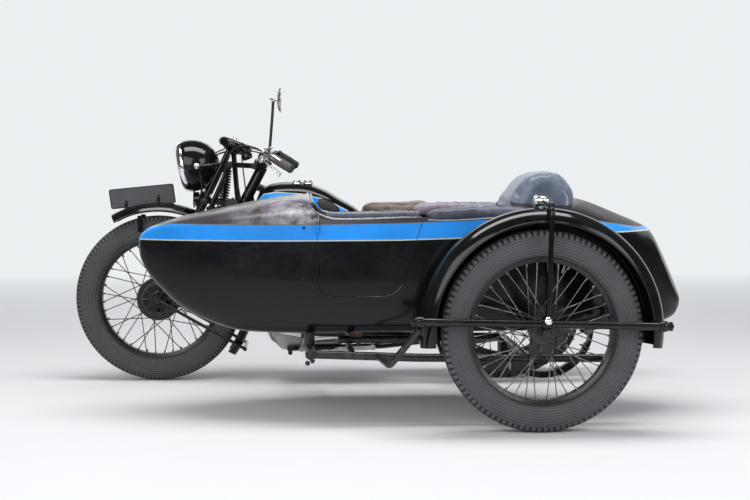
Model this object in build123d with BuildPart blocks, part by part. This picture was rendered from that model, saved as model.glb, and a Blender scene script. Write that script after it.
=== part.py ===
"""A girder-fork motorcycle with a boat-bodied sidecar on its left, as an assembly of named pieces.

Positions are in millimetres from the rear axle's foot on the ground: X forward, Y left towards the
sidecar, Z up. The finished pieces are set under the outfit's own origin, the middle of its floor area.
"""
from math import cos, radians, sin, tan
import os

from build123d import *

os.makedirs("parts", exist_ok=True)

# ---------------------------------------------------------------- driving dimensions
wheelbase = 1391
track = 1120                # sidecar wheel's plane from the motorcycle's
wheel_lead = 50             # sidecar axle ahead of the rear axle

tyre_radius = 330
tyre_width = 85
tyre_wall = 8
rim_radius = 255            # over the rim's flanges
rim_width = 60
rim_wall = 4
bead_seat_radius = 241
well_radius = 229
spoke_diameter = 3.6
spokes_per_side = 20
spoke_lead = 52             # degrees between a spoke's hub end and its rim end
axle_radius = 8
running_gap = 0.3           # between a turning piece and what carries it
seat_gap = 0.3              # between pieces that rest against each other
moving_gap = 5              # between pieces that move past each other

head_rake = 27
head_x = 1022               # middle of the head tube
head_z = 768
head_length = 150
head_tube_radius = 22
stem_radius = 13
girder_rake = 25.5
girder_y = 80               # fork blades from the centre plane
girder_height = 920         # top of the blades

frame_tube_radius = 15
stay_radius = 9
seat_lug_x = 560
seat_lug_z = 600
bottom_bracket_x = 505
cradle_z = 150
cradle_y = 88
dropout_y = 84

engine_x = 785              # crankshaft, and middle of the barrels
crank_z = 262
crankcase_half = 75
barrel_base_z = 415
fin_thickness = 4
fin_pitch = 12
barrel_fins = 7
head_fins = 4
exhaust_y = 150
silencer_radius = 38

body_y = 700                # sidecar body's centre plane
body_wall = 18
body_floor = 305
cockpit_front = 805
cockpit_rear = 130
cockpit_border = 45         # deck left beside the cockpit
door_front = 773
door_rear = 437
door_bottom = 437
door_corner = 110
door_gap = 5
hinge_radius = 7

rail_y = 1200               # tube outside the sidecar wheel
rail_radius = 12.5
chassis_outer_y = 1000
chassis_inner_y = 430
chassis_z = 238

front_guard_radius = 382
rear_guard_radius = 386
sidecar_guard_radius = 400
guard_thickness = 3

front_axle = Vector(wheelbase, 0, tyre_radius)
rear_axle = Vector(0, 0, tyre_radius)
sidecar_axle = Vector(wheel_lead, track, tyre_radius)
side_guard_half, side_guard_drop = 63, 44
side_guard_top = sidecar_axle.Z + sidecar_guard_radius

pieces = {}                 # every finished piece, by node name


# ---------------------------------------------------------------- helpers
def side(y):
    """The plane at a distance y from the motorcycle's centre plane, drawn in X and Z."""
    return Plane((0, y, 0), x_dir=(1, 0, 0), z_dir=(0, -1, 0))


def across(centre):
    """A plane through an axle, drawn outward from it (first) and along it (second)."""
    return Plane(centre, x_dir=(0, 0, 1), z_dir=(-1, 0, 0))


def polar(centre, radius, degrees):
    """X and Z of a point round an axle; 0 degrees is forward, 90 up."""
    return centre.X + radius * cos(radians(degrees)), centre.Z + radius * sin(radians(degrees))


def on_head(along, forward=0, y=0):
    """A point measured up the steering axis from the head tube's middle, and forward of it."""
    tilt = radians(head_rake)
    return Vector(head_x - along * sin(tilt) + forward * cos(tilt), y,
                  head_z + along * cos(tilt) + forward * sin(tilt))


def on_girder(z, y=girder_y, back=0):
    """A point on a fork blade at a height, or behind it."""
    return Vector(wheelbase - (z - tyre_radius) * tan(radians(girder_rake)) - back, y, z)


def rod(start, end, radius):
    """A straight round bar between two points, in the piece being built."""
    start, end = Vector(*start), Vector(*end)
    with BuildSketch(Plane(origin=start, z_dir=end - start)) as section:
        Circle(radius)
    extrude(section.sketch, amount=(end - start).length)


def tube(points, radius, bend):
    """A round tube along straight runs joined by arcs, in the piece being built."""
    with BuildLine() as path:
        FilletPolyline(*points, radius=bend)
    with BuildSketch(Plane(origin=path.line @ 0, z_dir=path.line % 0)) as section:
        Circle(radius)
    sweep(section.sketch, path=path.line)


def disc(centre, axis, radius, thickness):
    """A round plate centred on a point, in the piece being built."""
    with BuildSketch(Plane(origin=centre, z_dir=axis)) as section:
        Circle(radius)
    extrude(section.sketch, amount=thickness / 2, both=True)


def spindle(centre, reach, radius):
    """A bar along Y through a pivot, in the piece being built."""
    rod((centre.X, -reach, centre.Z), (centre.X, reach, centre.Z), radius)


def bar_plate(a, b, y, width, thickness):
    """A flat bar with rounded ends between two pivots, in the piece being built."""
    with BuildSketch(side(y)) as outline:
        with Locations((a.X, a.Z)):
            Circle(width / 2)
        with Locations((b.X, b.Z)):
            Circle(width / 2)
        make_hull()
    extrude(outline.sketch, amount=thickness / 2, both=True)


def bore_along(centre, radius):
    """A hole along Y through a pivot, cut from the piece being built."""
    with BuildSketch(side(centre.Y)) as hole:
        with Locations((centre.X, centre.Z)):
            Circle(radius)
    extrude(hole.sketch, amount=200, both=True, mode=Mode.SUBTRACT)


def collar(start, end, radius, bore):
    """A ring round a bar between two points, in the piece being built."""
    start, end = Vector(*start), Vector(*end)
    with BuildSketch(Plane(origin=start, z_dir=end - start)) as ring:
        Circle(radius)
        Circle(bore, mode=Mode.SUBTRACT)
    extrude(ring.sketch, amount=(end - start).length)


def relieve(other, ways):
    """Cut another piece away from the piece being built, with a gap on the named sides."""
    for way in ways:
        add(other.moved(Location(Vector(*way) * seat_gap)), mode=Mode.SUBTRACT)


def section(x, bottom, shoulder, crown, half_width, corner, y=0):
    """A closed outline across the machine: flat below, rounded corners, upright sides, crowned top."""
    with BuildSketch(Plane((x, y, 0), x_dir=(0, 1, 0), z_dir=(1, 0, 0))) as outline:
        with BuildLine():
            Line((half_width - corner, bottom), (corner - half_width, bottom))
            for way in (1, -1):
                inset = corner * (1 - cos(radians(45)))
                ThreePointArc((way * (half_width - corner), bottom), (way * (half_width - inset), bottom + inset),
                              (way * half_width, bottom + corner))
                Line((way * half_width, bottom + corner), (way * half_width, shoulder))
            ThreePointArc((half_width, shoulder), (0, crown), (-half_width, shoulder))
        make_face()
    return outline.sketch


def guard(centre, radius, half_width, drop, start, end, bead):
    """A mudguard: a crowned strip round a wheel between two angles, with beaded edges."""
    radial = Vector(cos(radians(start)), 0, sin(radians(start)))
    with BuildPart() as strip:
        with BuildSketch(Plane(centre, x_dir=radial, z_dir=(-radial.Z, 0, radial.X))):
            with BuildLine():
                ThreePointArc((radius - drop, half_width), (radius, 0), (radius - drop, -half_width))
                Line((radius - drop, -half_width), (radius - drop, guard_thickness - half_width))
                ThreePointArc((radius - drop, guard_thickness - half_width), (radius - guard_thickness, 0),
                              (radius - drop, half_width - guard_thickness))
                Line((radius - drop, half_width - guard_thickness), (radius - drop, half_width))
            make_face()
            with Locations((radius - drop, half_width), (radius - drop, -half_width)):
                Circle(bead)
        revolve(axis=Axis(centre, (0, -1, 0)), revolution_arc=end - start)
    return strip


def finish(piece, name):
    """Label a finished piece and keep it for its file."""
    piece.part.label = name
    pieces[name] = piece.part


# ---------------------------------------------------------------- wheels and tyres
def spoked_wheel(centre, hub_rows, flanges):
    """A rim, two rows of crossed spokes and a hub.

    hub_rows: the hub's outline as (radius, along the axle); flanges: (radius, along) of each spoke row.
    """
    half = rim_width / 2
    with BuildPart() as wheel:
        with BuildSketch(across(centre)):
            with BuildLine():
                Polyline(
                    (rim_radius, half), (rim_radius, half - 3), (bead_seat_radius, half - rim_wall),
                    (bead_seat_radius, 16), (well_radius, 10), (well_radius, -10), (bead_seat_radius, -16),
                    (bead_seat_radius, rim_wall - half), (rim_radius, 3 - half), (rim_radius, -half),
                    (bead_seat_radius - rim_wall, -half), (bead_seat_radius - rim_wall, -20),
                    (well_radius - rim_wall, -14), (well_radius - rim_wall, 14),
                    (bead_seat_radius - rim_wall, 20), (bead_seat_radius - rim_wall, half), close=True)
            make_face()
        with BuildSketch(across(centre)):
            with BuildLine():
                Polyline(*[(r, y) for r, y in hub_rows], close=True)
            make_face()
        revolve(axis=Axis(centre, (0, 1, 0)))
        for flange_radius, along in flanges:
            crosswise = 5 if along > 0 else -5
            for i in range(spokes_per_side):
                angle = 360 / spokes_per_side * (i + (0.75 if along > 0 else 0.25))
                lead = spoke_lead if i % 2 else -spoke_lead
                x, z = polar(centre, flange_radius, angle + lead)
                foot = Vector(x, centre.Y + along + (2 if i % 2 else -2), z)
                x, z = polar(centre, well_radius - 2, angle)
                head = Vector(x, centre.Y + crosswise, z)
                with BuildSketch(Plane(origin=foot, z_dir=head - foot)):
                    Circle(spoke_diameter / 2)
            extrude(amount=(head - foot).length)
    return wheel


def tyre(centre):
    """A tyre's casing, open to the rim inside."""
    half = tyre_width / 2
    bead = rim_width / 2 - rim_wall - seat_gap
    foot = bead_seat_radius + seat_gap
    bulge = tyre_radius - 42        # radius of the casing's widest ring
    shoulder = tyre_radius - 13
    air = half - tyre_wall          # radius of the hollow's section
    with BuildPart() as casing:
        with BuildSketch(across(centre)):
            with BuildLine():
                Line((foot, bead), (foot, -bead))
                for way in (1, -1):
                    Line((foot, way * bead), (rim_radius + 1, way * (bead + 1)))
                    ThreePointArc((rim_radius + 1, way * (bead + 1)), (bulge, way * half),
                                  (shoulder, way * (half - 11)))
                ThreePointArc((shoulder, half - 11), (tyre_radius, 0), (shoulder, 11 - half))
            make_face()
            with Locations((tyre_radius - tyre_wall - air, 0)):
                Circle(air, mode=Mode.SUBTRACT)
            with Locations((foot, 0)):
                Rectangle(30, 2 * bead - 22, mode=Mode.SUBTRACT)
        revolve(axis=Axis(centre, (0, 1, 0)))
    return casing


bore = axle_radius + running_gap
front_drum_radius = 86
rear_drum_radius = 80
sprocket_radius = 92
drum_face = 52              # open side of a brake drum, from the wheel's plane

front_hub = ((bore, -52), (22, -52), (22, -36), (38, -36), (38, -30), (20, -26), (20, 18),
             (front_drum_radius - 8, 24), (front_drum_radius, 24), (front_drum_radius, drum_face),
             (front_drum_radius - 6, drum_face), (front_drum_radius - 6, 32), (bore, 32))
rear_hub = ((bore, -60), (24, -60), (24, -38), (42, -38), (42, -32), (22, -28), (22, 16),
            (rear_drum_radius - 8, 22), (rear_drum_radius, 22), (rear_drum_radius, drum_face),
            (70, drum_face), (70, 57), (sprocket_radius, 57), (sprocket_radius, 63), (bore, 63))
side_hub = ((bore, -52), (22, -52), (22, -38), (40, -38), (40, -32), (22, -28), (22, 28),
            (40, 32), (40, 38), (22, 38), (22, 48), (bore, 48))

front_wheel = spoked_wheel(front_axle, front_hub, ((34, -33), (front_drum_radius - 4, 26)))
finish(front_wheel, "front_wheel")
rear_wheel = spoked_wheel(rear_axle, rear_hub, ((38, -35), (rear_drum_radius - 4, 24)))
finish(rear_wheel, "rear_wheel")
sidecar_wheel = spoked_wheel(sidecar_axle, side_hub, ((36, -35), (36, 35)))
finish(sidecar_wheel, "sidecar_wheel")
for place, axle in (("front", front_axle), ("rear", rear_axle), ("sidecar", sidecar_axle)):
    finish(tyre(axle), f"{place}_tyre")


# ---------------------------------------------------------------- motorcycle frame
saddle_bar_x = 352
saddle_bar_z = 565.7
stand_y = 98.5              # legs of both stands
nut_y = 108

with BuildPart() as frame:
    rod(on_head(-head_length / 2), on_head(head_length / 2), head_tube_radius)
    rod(on_head(15), (seat_lug_x, 0, seat_lug_z), frame_tube_radius)
    rod(on_head(-20), (968, 0, 395), frame_tube_radius)
    rod((seat_lug_x, 0, seat_lug_z + 25), (bottom_bracket_x, 0, cradle_z + 15), frame_tube_radius)
    rod((bottom_bracket_x, -cradle_y, cradle_z + 15), (bottom_bracket_x, cradle_y, cradle_z + 15), 17)
    rod((seat_lug_x - 12, -66, seat_lug_z - 12), (seat_lug_x - 12, 66, seat_lug_z - 12), 11)
    rod((868, -cradle_y - 7, 117), (868, cradle_y + 7, 117), 9)
    rod((saddle_bar_x, -98, saddle_bar_z), (saddle_bar_x, 98, saddle_bar_z), 8)
    rod((355.9, -68, 497.5), (355.9, 68, 497.5), 7)
    rod((bottom_bracket_x + 20, 0, 440), (502.4, 0, 440), 8)
    rod((538, 0, 520), (536, 46, 520), 12)                      # lugs for the sidecar's struts
    rod((1011, 0, 640), (1010, 30, 638), 12)
    for y in (-1, 1):
        tube(((880, y * cradle_y, cradle_z - 16), (500, y * cradle_y, cradle_z - 8),
              (330, y * dropout_y, cradle_z + 10), (34, y * dropout_y, 311)), 11, 180)
        rod((seat_lug_x - 12, y * 66, seat_lug_z - 12), (30, y * dropout_y, 352), stay_radius)
        rod((saddle_bar_x, y * 72.8, 498), (saddle_bar_x, y * 84, saddle_bar_z), 7)
        with BuildSketch(side(y * dropout_y)) as dropout:
            with Locations((0, tyre_radius)):
                SlotCenterToCenter(30, 56)
        extrude(dropout.sketch, amount=4, both=True)
    with BuildSketch(side(0)) as engine_lug:
        with BuildLine():
            Polyline((984, 425), (949.3, 425), (949.3, 330), (975, 330), close=True)
        make_face()
    extrude(engine_lug.sketch, amount=32, both=True)
    with BuildSketch(Plane(origin=on_head(-head_length / 2 - 10), z_dir=on_head(1) - on_head(0))) as stem_hole:
        Circle(stem_radius + running_gap)
    extrude(stem_hole.sketch, amount=head_length + 20, mode=Mode.SUBTRACT)
    spindle(rear_axle, nut_y + 5, axle_radius)
    for y in (-1, 1):
        disc((0, y * nut_y, tyre_radius), (0, 1, 0), 14, 5)
        disc((0, y * 71.5 + 1.5 * (y > 0), tyre_radius), (0, 1, 0), 13, 19 if y < 0 else 16)
finish(frame, "frame")




# ---------------------------------------------------------------- engine and drive
gearbox_x = 590
chain_y = 60
chain_thickness = 12
front_sprocket_radius = 36
case_side = crankcase_half + seat_gap
header_radius = 19
port_y = 75
head_base_z = barrel_base_z + fin_pitch * barrel_fins + seat_gap
rocker_z = head_base_z + fin_pitch * head_fins + 8

with BuildPart() as crankcase:
    with BuildSketch(side(0)) as case_outline:
        with BuildLine():
            Polyline((949, 330), (949, 178), (900, 128), (690, 128), (640, 165), (640, 330), (690, 385),
                     (890, 385), close=True)
        make_face()
        fillet(case_outline.vertices().sort_by(Axis.Z)[:6], 16)
    extrude(amount=crankcase_half, both=True)
    with BuildSketch(Plane.XY.offset(384)):
        with Locations((engine_x, 0)):
            RectangleRounded(190, 240, 12)
    extrude(amount=barrel_base_z - 384)
    for i, left in enumerate((106, 106, crankcase_half, crankcase_half)):      # sump fins
        with BuildSketch(Plane.XY.offset(156 + 16 * i)):
            with Locations((752, (left - 106) / 2)):
                RectangleRounded(125, left + 106, 10)
        extrude(amount=5)
    rod((644, -62, 381), (644, 62, 381), 36)                                # magneto and its drive
    rod((644, 62, 381), (644, 84, 381), 24)
    with BuildSketch(side(-crankcase_half)) as cover_outline:
        with BuildLine():
            Polyline((705, 215), (845, 190), (885, 270), (800, 372), (700, 350), close=True)
        make_face()
        fillet(cover_outline.vertices(), 32)
    extrude(cover_outline.sketch, amount=34)
finish(crankcase, "crankcase")

with BuildPart() as primary_case:
    with BuildSketch(side(case_side)):
        with Locations((engine_x, crank_z)):
            Circle(84)
        with Locations((gearbox_x, crank_z + 6)):
            Circle(90)
        make_hull()
    extrude(amount=-44)
    fillet(primary_case.faces().sort_by(Axis.Y)[-1].edges(), 10)
finish(primary_case, "primary_case")


def finned_block(base, fins, core, spread, covers=()):
    """A stack of cooling fins round a core; core and spread are (along X, along Y).

    covers: blocks on top as (bottom, height, (along X, along Y), offsets from the engine's middle).
    """
    with BuildPart() as block:
        with BuildSketch(Plane.XY.offset(base)):
            with Locations((engine_x, 0)):
                RectangleRounded(*core, 30)
        extrude(amount=fin_pitch * fins)
        for i in range(fins):
            with BuildSketch(Plane.XY.offset(base + fin_pitch * (i + 0.5))):
                with Locations((engine_x, 0)):
                    RectangleRounded(*spread, 34)
            extrude(amount=fin_thickness)
        for bottom, height, size, offsets in covers:
            with BuildSketch(Plane.XY.offset(bottom)):
                with Locations(*[(engine_x + offset, 0) for offset in offsets]):
                    RectangleRounded(*size, 12)
            extrude(amount=height)
    return block


barrel = finned_block(barrel_base_z + seat_gap, barrel_fins, (150, 220), (186, 252))
finish(barrel, "cylinder_block")

rocker_covers = ((rocker_z - 8, 8, (150, 214), (0,)), (rocker_z, 30, (54, 200), (-42, 42)))
head = finned_block(head_base_z + seat_gap, head_fins, (156, 226), (190, 256), rocker_covers)
finish(head, "cylinder_head")

with BuildPart() as carburettor:
    rod((engine_x - 95 - seat_gap, 0, head_base_z + 22), (engine_x - 150, 0, head_base_z + 22), 20)
    rod((engine_x - 128, 0, head_base_z - 12), (engine_x - 128, 0, head_base_z + 62), 22)
    rod((engine_x - 132, -10, head_base_z + 4), (engine_x - 132, -60, head_base_z + 4), 9)
    rod((engine_x - 132, -60, head_base_z - 22), (engine_x - 132, -60, head_base_z + 34), 24)
finish(carburettor, "carburettor")

with BuildPart() as gearbox:
    with BuildSketch(side(-70)) as box_outline:
        with BuildLine():
            Polyline((640 - seat_gap, 345), (640 - seat_gap, 196), (562, 192), (545, 215), (545, 340),
                     (565, 352), close=True)
        make_face()
    extrude(amount=-115)
    rod((gearbox_x, 44, crank_z + 8), (gearbox_x, chain_y - 4, crank_z + 8), 16)
    rod((gearbox_x + 1, -60, 284), (gearbox_x + 1, -86, 284), 44)
finish(gearbox, "gearbox")

with BuildPart() as chain:
    with BuildSketch(side(chain_y)) as chain_outline:
        with Locations((rear_axle.X, rear_axle.Z)):
            Circle(sprocket_radius + running_gap + chain_thickness)
        with Locations((gearbox_x, crank_z + 8)):
            Circle(front_sprocket_radius + chain_thickness)
        make_hull()
        with BuildSketch(mode=Mode.PRIVATE) as inner:
            with Locations((rear_axle.X, rear_axle.Z)):
                Circle(sprocket_radius + running_gap)
            with Locations((gearbox_x, crank_z + 8)):
                Circle(front_sprocket_radius)
            make_hull()
        add(inner.sketch, mode=Mode.SUBTRACT)
        with Locations((gearbox_x, crank_z + 8)):
            Circle(front_sprocket_radius + 1)
            Circle(16.2, mode=Mode.SUBTRACT)
    extrude(amount=6, both=True)
finish(chain, "rear_chain")

silencer_front = 236
silencer_rear = -299
fishtail_rear = -408

with BuildPart() as exhaust:
    for y in (-1, 1):
        tube(((engine_x + 102, y * port_y, head_base_z + 20), (945, y * 92, head_base_z + 6),
              (968, y * 138, 380), (915, y * exhaust_y, 222), (770, y * exhaust_y, 190),
              (430, y * exhaust_y, 216), (silencer_front - 4, y * exhaust_y, 240)), header_radius, 42)
        disc((engine_x + 101, y * port_y, head_base_z + 20), (1, 0, 0), 29, 9)
        front = Vector(silencer_front, y * exhaust_y, 240)
        rear = Vector(silencer_rear, y * exhaust_y, 267)
        way = (rear - front).normalized()
        for start, end, radius in ((front, front + way * 14, 24), (front + way * 14, rear, silencer_radius),
                                   (rear, rear + way * 16, 27)):
            rod(start, end, radius)
        with BuildSketch(side(y * exhaust_y)) as fan:
            with BuildLine():
                Polyline((silencer_rear - 12, 290), (fishtail_rear, 312), (fishtail_rear, 236),
                         (silencer_rear - 12, 248), close=True)
            make_face()
        extrude(fan.sketch, amount=13, both=True)
finish(exhaust, "exhaust")

with BuildPart() as kick_starter:
    rod((566, -86.3, 300), (566, -114, 300), 9)
    bar_plate(Vector(566, 0, 300), Vector(528, 0, 462), -106, 16, 10)
    rod((528, -106, 462), (528, -182, 462), 8)
finish(kick_starter, "kick_starter")

with BuildPart() as gear_lever:
    rod((614, -86.3, 268), (614, -108, 268), 8)
    bar_plate(Vector(614, 0, 268), Vector(674, 0, 252), -103, 14, 8)
    rod((674, -100, 252), (674, -125, 252), 7)
finish(gear_lever, "gear_lever")

with BuildPart() as brake_pedal:
    rod((540, cradle_y + 11.4, 140), (540, 130, 140), 10)
    bar_plate(Vector(540, 0, 140), Vector(690, 0, 134), 124, 16, 8)
    rod((690, 122, 134), (690, 172, 134), 9)
finish(brake_pedal, "brake_pedal")
# ---------------------------------------------------------------- tank, saddle and boxes
tank_half = 112
tank_bottom = 618
filler_x = 820
filler_z = 802

tank_rows = (
    # x, bottom, shoulder, crown, half width, corner
    (588, 624, 652, 682, 58, 12),
    (668, tank_bottom, 686, 728, 92, 20),
    (728, tank_bottom, 712, 764, 104, 20),
    (800, tank_bottom, 732, 791, tank_half - 1, 20),
    (888, tank_bottom, 738, 795, tank_half, 20),
    (948, 632, 732, 787, 104, 20),
    (988, 678, 710, 762, 76, 14),
    (1003, 696, 710, 724, 46, 8))


with BuildPart() as fuel_tank:
    loft([section(*row) for row in tank_rows], ruled=True)
    with BuildSketch(side(0)):                       # tunnel over the frame's top tube
        with BuildLine():
            Polyline((570, 600), (570, 640), (1012, 798), (1012, 600), close=True)
        make_face()
    extrude(amount=frame_tube_radius + 7, both=True, mode=Mode.SUBTRACT)
    rod((filler_x, 0, 780), (filler_x, 0, filler_z), 24)
    rod((filler_x, 0, filler_z), (filler_x, 0, filler_z + 10), 33)
    for way in (1, -1):                              # knee grips
        with BuildSketch(side(way * (tank_half - 22))) as knee_grip:
            with Locations((705, 676)):
                Ellipse(60, 32)
        extrude(knee_grip.sketch, amount=-way * 28)
finish(fuel_tank, "fuel_tank")

saddle_top = 712

with BuildPart() as saddle:
    with BuildSketch(Plane.XY.offset(saddle_top - 52)):
        with Locations((548, 0)):
            Circle(34)
        with Locations((372, 66), (372, -66)):
            Circle(72)
        make_hull()
    extrude(amount=52)
    fillet(saddle.faces().sort_by(Axis.Z)[-1].edges(), 22)
finish(saddle, "saddle")

spring_height = 85.6

with BuildPart() as saddle_springs:
    for y in (-1, 1):
        foot = Vector(saddle_bar_x, y * 80, saddle_top - 52 - seat_gap - spring_height)
        rod(foot, foot + Vector(0, 0, spring_height), 18)
        for i in range(6):
            disc(foot + Vector(0, 0, 8 + 14 * i), (0, 0, 1), 24, 7)
    rod((saddle_bar_x, -98, foot.Z + 5), (saddle_bar_x, 98, foot.Z + 5), 4)
    rod((seat_lug_x - 2, 0, seat_lug_z + 29), (seat_lug_x - 2, 0, saddle_top - 52 - seat_gap), 13)
finish(saddle_springs, "saddle_springs")

with BuildPart() as battery_box:
    with BuildSketch(Plane.XY.offset(388)):
        with Locations((452, 0)):
            RectangleRounded(100, 88, 8)
    extrude(amount=150)
finish(battery_box, "battery_box")

with BuildPart() as toolbox:
    with BuildSketch(side(-81)) as box_side:
        with BuildLine():
            Polyline((385, 455), (385, 552), (505, 552), (505, 430), (420, 430), close=True)
        make_face()
        fillet(box_side.vertices(), 14)
    extrude(amount=46)
finish(toolbox, "toolbox")


with BuildPart() as rear_guard:
    add(guard(rear_axle, rear_guard_radius, 57, 24, 12, 205, 3))
    for y in (-1, 1):
        x, z = polar(rear_axle, rear_guard_radius - 22, 165)
        rod((x, y * 57, z), (-36.5, y * 84, 355), 5)
finish(rear_guard, "rear_mudguard")

plate_x = -404

with BuildPart() as rear_plate:
    with BuildSketch(Plane((plate_x, 0, 420), x_dir=(0, 1, 0), z_dir=(1, 0, 0))):
        RectangleRounded(200, 130, 8)
    extrude(amount=3)
    for y in (-50, 50):
        rod((plate_x + 3, y, 420), (plate_x + 8, y, 420), 8)
    with BuildSketch(Plane((plate_x, 0, 420), x_dir=(0, 1, 0), z_dir=(1, 0, 0))):
        with Locations((-50, 0), (50, 0)):
            Circle(3.2)
    extrude(amount=20, mode=Mode.SUBTRACT)
finish(rear_plate, "rear_number_plate")

lamp_z = 520

with BuildPart() as tail_lamp:
    rod((-340, 0, lamp_z), (-392, 0, lamp_z), 30)
    with BuildSketch(Plane((plate_x + 8 + seat_gap, 0, 420), x_dir=(0, 1, 0), z_dir=(1, 0, 0))):
        with Locations((0, 45)):
            Rectangle(60, 80)
        with Locations((0, 0)):
            Rectangle(124, 22)
    extrude(amount=4)
    rod((-391, 0, lamp_z), (-402, 0, lamp_z), 26)
    bore_along(rear_axle, rear_guard_radius + seat_gap)
finish(tail_lamp, "tail_lamp")

rear_stand_angle = 196          # stowed direction of the legs, from forward over the top
rear_stand_reach = 401

with BuildPart() as rear_stand:
    foot_x, foot_z = polar(rear_axle, rear_stand_reach, rear_stand_angle)
    for y in (-stand_y, stand_y):
        disc((0, y, tyre_radius), (0, 1, 0), 15, 9)
        rod((0, y, tyre_radius), (foot_x, y, foot_z), 6)
    rod((foot_x, -stand_y - 6, foot_z), (foot_x, stand_y + 6, foot_z), 8.5)
    bore_along(rear_axle, axle_radius + running_gap)
finish(rear_stand, "rear_stand")

# ---------------------------------------------------------------- controls by the engine
with BuildPart() as footrests:
    tube(((600, -252, 236), (600, -196, 236), (600, -186, 161), (600, 186, 161), (600, 196, 236),
          (600, 252, 236)), 9, 16)
    for y in (-1, 1):
        rod((600, y * 204, 236), (600, y * 262, 236), 16)
finish(footrests, "footrests")

# ---------------------------------------------------------------- girder fork and steering
crown_low = -head_length / 2 - seat_gap         # ends of the head tube, along the steering axis
crown_high = head_length / 2 + seat_gap
link_y = 65
link_radius = 6
lower_rear = on_head(-88, 40)
upper_rear = on_head(86, 30)
lower_front = on_girder(720, 0)
upper_front = Vector(1106, 0, 863)
bar_radius = 11
bar_middle = Vector(992, 0, 872)                # the handlebar where it is clamped


with BuildPart() as steering_stem:
    rod(on_head(crown_low - 24), on_head(crown_high + 28), stem_radius)
    for base, height, pivot in ((crown_low - 24, 24, lower_rear), (crown_high, 22, upper_rear)):
        rod(on_head(base), on_head(base + height), 22)
        for y in (-50, 50):
            bar_plate(on_head(base + height / 2, -4), pivot, y, 22, 10)
        rod(on_head(base + height / 2, 0, -50), on_head(base + height / 2, 0, 50), 9)
    for rear, front in ((lower_rear, lower_front), (upper_rear, upper_front)):
        for y in (-link_y, link_y):
            bar_plate(rear, front, y, 20, 6)
        spindle(rear, link_y + 4, link_radius)
        spindle(front, 98, link_radius)
        for way in (-1, 1):
            disc((front.X, way * 95.5, front.Z), (0, 1, 0), 9, 5)
    for y in (-32, 32):                                         # handlebar clamps
        rod((984, y, 848), bar_middle + Vector(0, y, 0), 8)
        disc(bar_middle + Vector(0, y, 0), (0, 1, 0), 18, 20)
    bore_along(bar_middle, bar_radius + seat_gap)
finish(steering_stem, "steering_stem")

blade_radius = 10
lamp_stud = Vector(1233, 0, 857)

with BuildPart() as girder:
    for y in (-girder_y, girder_y):
        rod(on_girder(tyre_radius + 4, y), on_girder(girder_height, y), blade_radius)
        tube((on_girder(350, y, 6), (1262, y, 520), (1174, y, 712), (1112, y, 852)), 8, 160)
        disc((wheelbase, y * 0.98, tyre_radius), (0, 1, 0), 20, 17)
        bar_plate(on_girder(852, 0), upper_front, y, 26, 10)
        tube((on_girder(868, y), (1180, y * 1.06, 862), (1228, y * 1.2, 857)), 5.5, 30)
        disc((lamp_stud.X, y * 1.2, lamp_stud.Z), (0, 1, 0), 9, 5)
    for z, back in ((905, 0), (690, 30), (742, 0)):
        rod(on_girder(z, -girder_y, back), on_girder(z, girder_y, back), 9)
    with BuildSketch(side(0)):
        with BuildLine():
            Polyline((on_girder(690).X - 30, 699), (1143, 689.3), (1111, 685.3), (1111, 673),
                     (on_girder(690).X - 30, 681), close=True)
        make_face()
    extrude(amount=14, both=True)
    for pivot in (lower_front, upper_front):
        bore_along(pivot, link_radius + seat_gap)
    spindle(front_axle, nut_y + 5, axle_radius)
    for y in (-nut_y, nut_y):
        disc((wheelbase, y, tyre_radius), (0, 1, 0), 13, 5)
finish(girder, "fork_girder")

spring_top = Vector(1108, 0, 842)
spring_foot = Vector(1127, 0, 688)

with BuildPart() as fork_spring:
    way = (spring_foot - spring_top).normalized()
    for i in range(14):
        along = 9 + 10.4 * i
        disc(spring_top + way * along, way, 18 + 8 * sin(radians(180 * (along - 5) / 145)), 5.6)
    rod(spring_top + way * 2, spring_foot - way * 1, 13)
finish(fork_spring, "fork_spring")

with BuildPart() as brake_plate:
    disc((wheelbase, drum_face + moving_gap + 3, tyre_radius), (0, 1, 0), 80, 6)
    disc((wheelbase, drum_face + moving_gap + 9.3, tyre_radius), (0, 1, 0), 18, 6.8)
    rod((wheelbase - 52, 56, tyre_radius + 22), (wheelbase - 52, 68, tyre_radius + 22), 8)
    bar_plate(Vector(wheelbase - 52, 0, tyre_radius + 22), Vector(wheelbase - 74, 0, tyre_radius + 62), 66, 14, 5)
    bore_along(front_axle, axle_radius + seat_gap)
finish(brake_plate, "front_brake_plate")

front_stand_angle = 209.7
front_stand_reach = 396

with BuildPart() as front_stand:
    foot_x, foot_z = polar(front_axle, front_stand_reach, front_stand_angle)
    for y in (-stand_y, stand_y):
        disc((wheelbase, y, tyre_radius), (0, 1, 0), 14, 8)
        rod((wheelbase, y, tyre_radius), (foot_x, y, foot_z), 6.5)
    rod((foot_x, -stand_y - 6, foot_z), (foot_x, stand_y + 6, foot_z), 8)
    bore_along(front_axle, axle_radius + running_gap)
finish(front_stand, "front_stand")

with BuildPart() as front_guard:
    add(guard(front_axle, front_guard_radius, 57, 32, 60.5, 217.5, 3))
    with BuildSketch(side(0)) as number_plate:
        with BuildLine():
            Polyline((1588, 761), (1335, 786), (1325, 711), (1578, 686), close=True)
        make_face()
    extrude(number_plate.sketch, amount=1.5, both=True)
    for x, bottom in ((1392, 710), (1520, 687.5)):
        rod((x, 0, bottom), (x, 0, bottom + 32), 6)
    for y in (-1, 1):                                           # stays, to lugs on the blades
        rod(on_girder(656.7, y * 45), on_girder(656.7, y * 69.7), 5)
        x, z = polar(front_axle, front_guard_radius - 32, 200)
        rod((x, y * 57, z), (1318, y * 67.6, 428), 4)
finish(front_guard, "front_mudguard")
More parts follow.
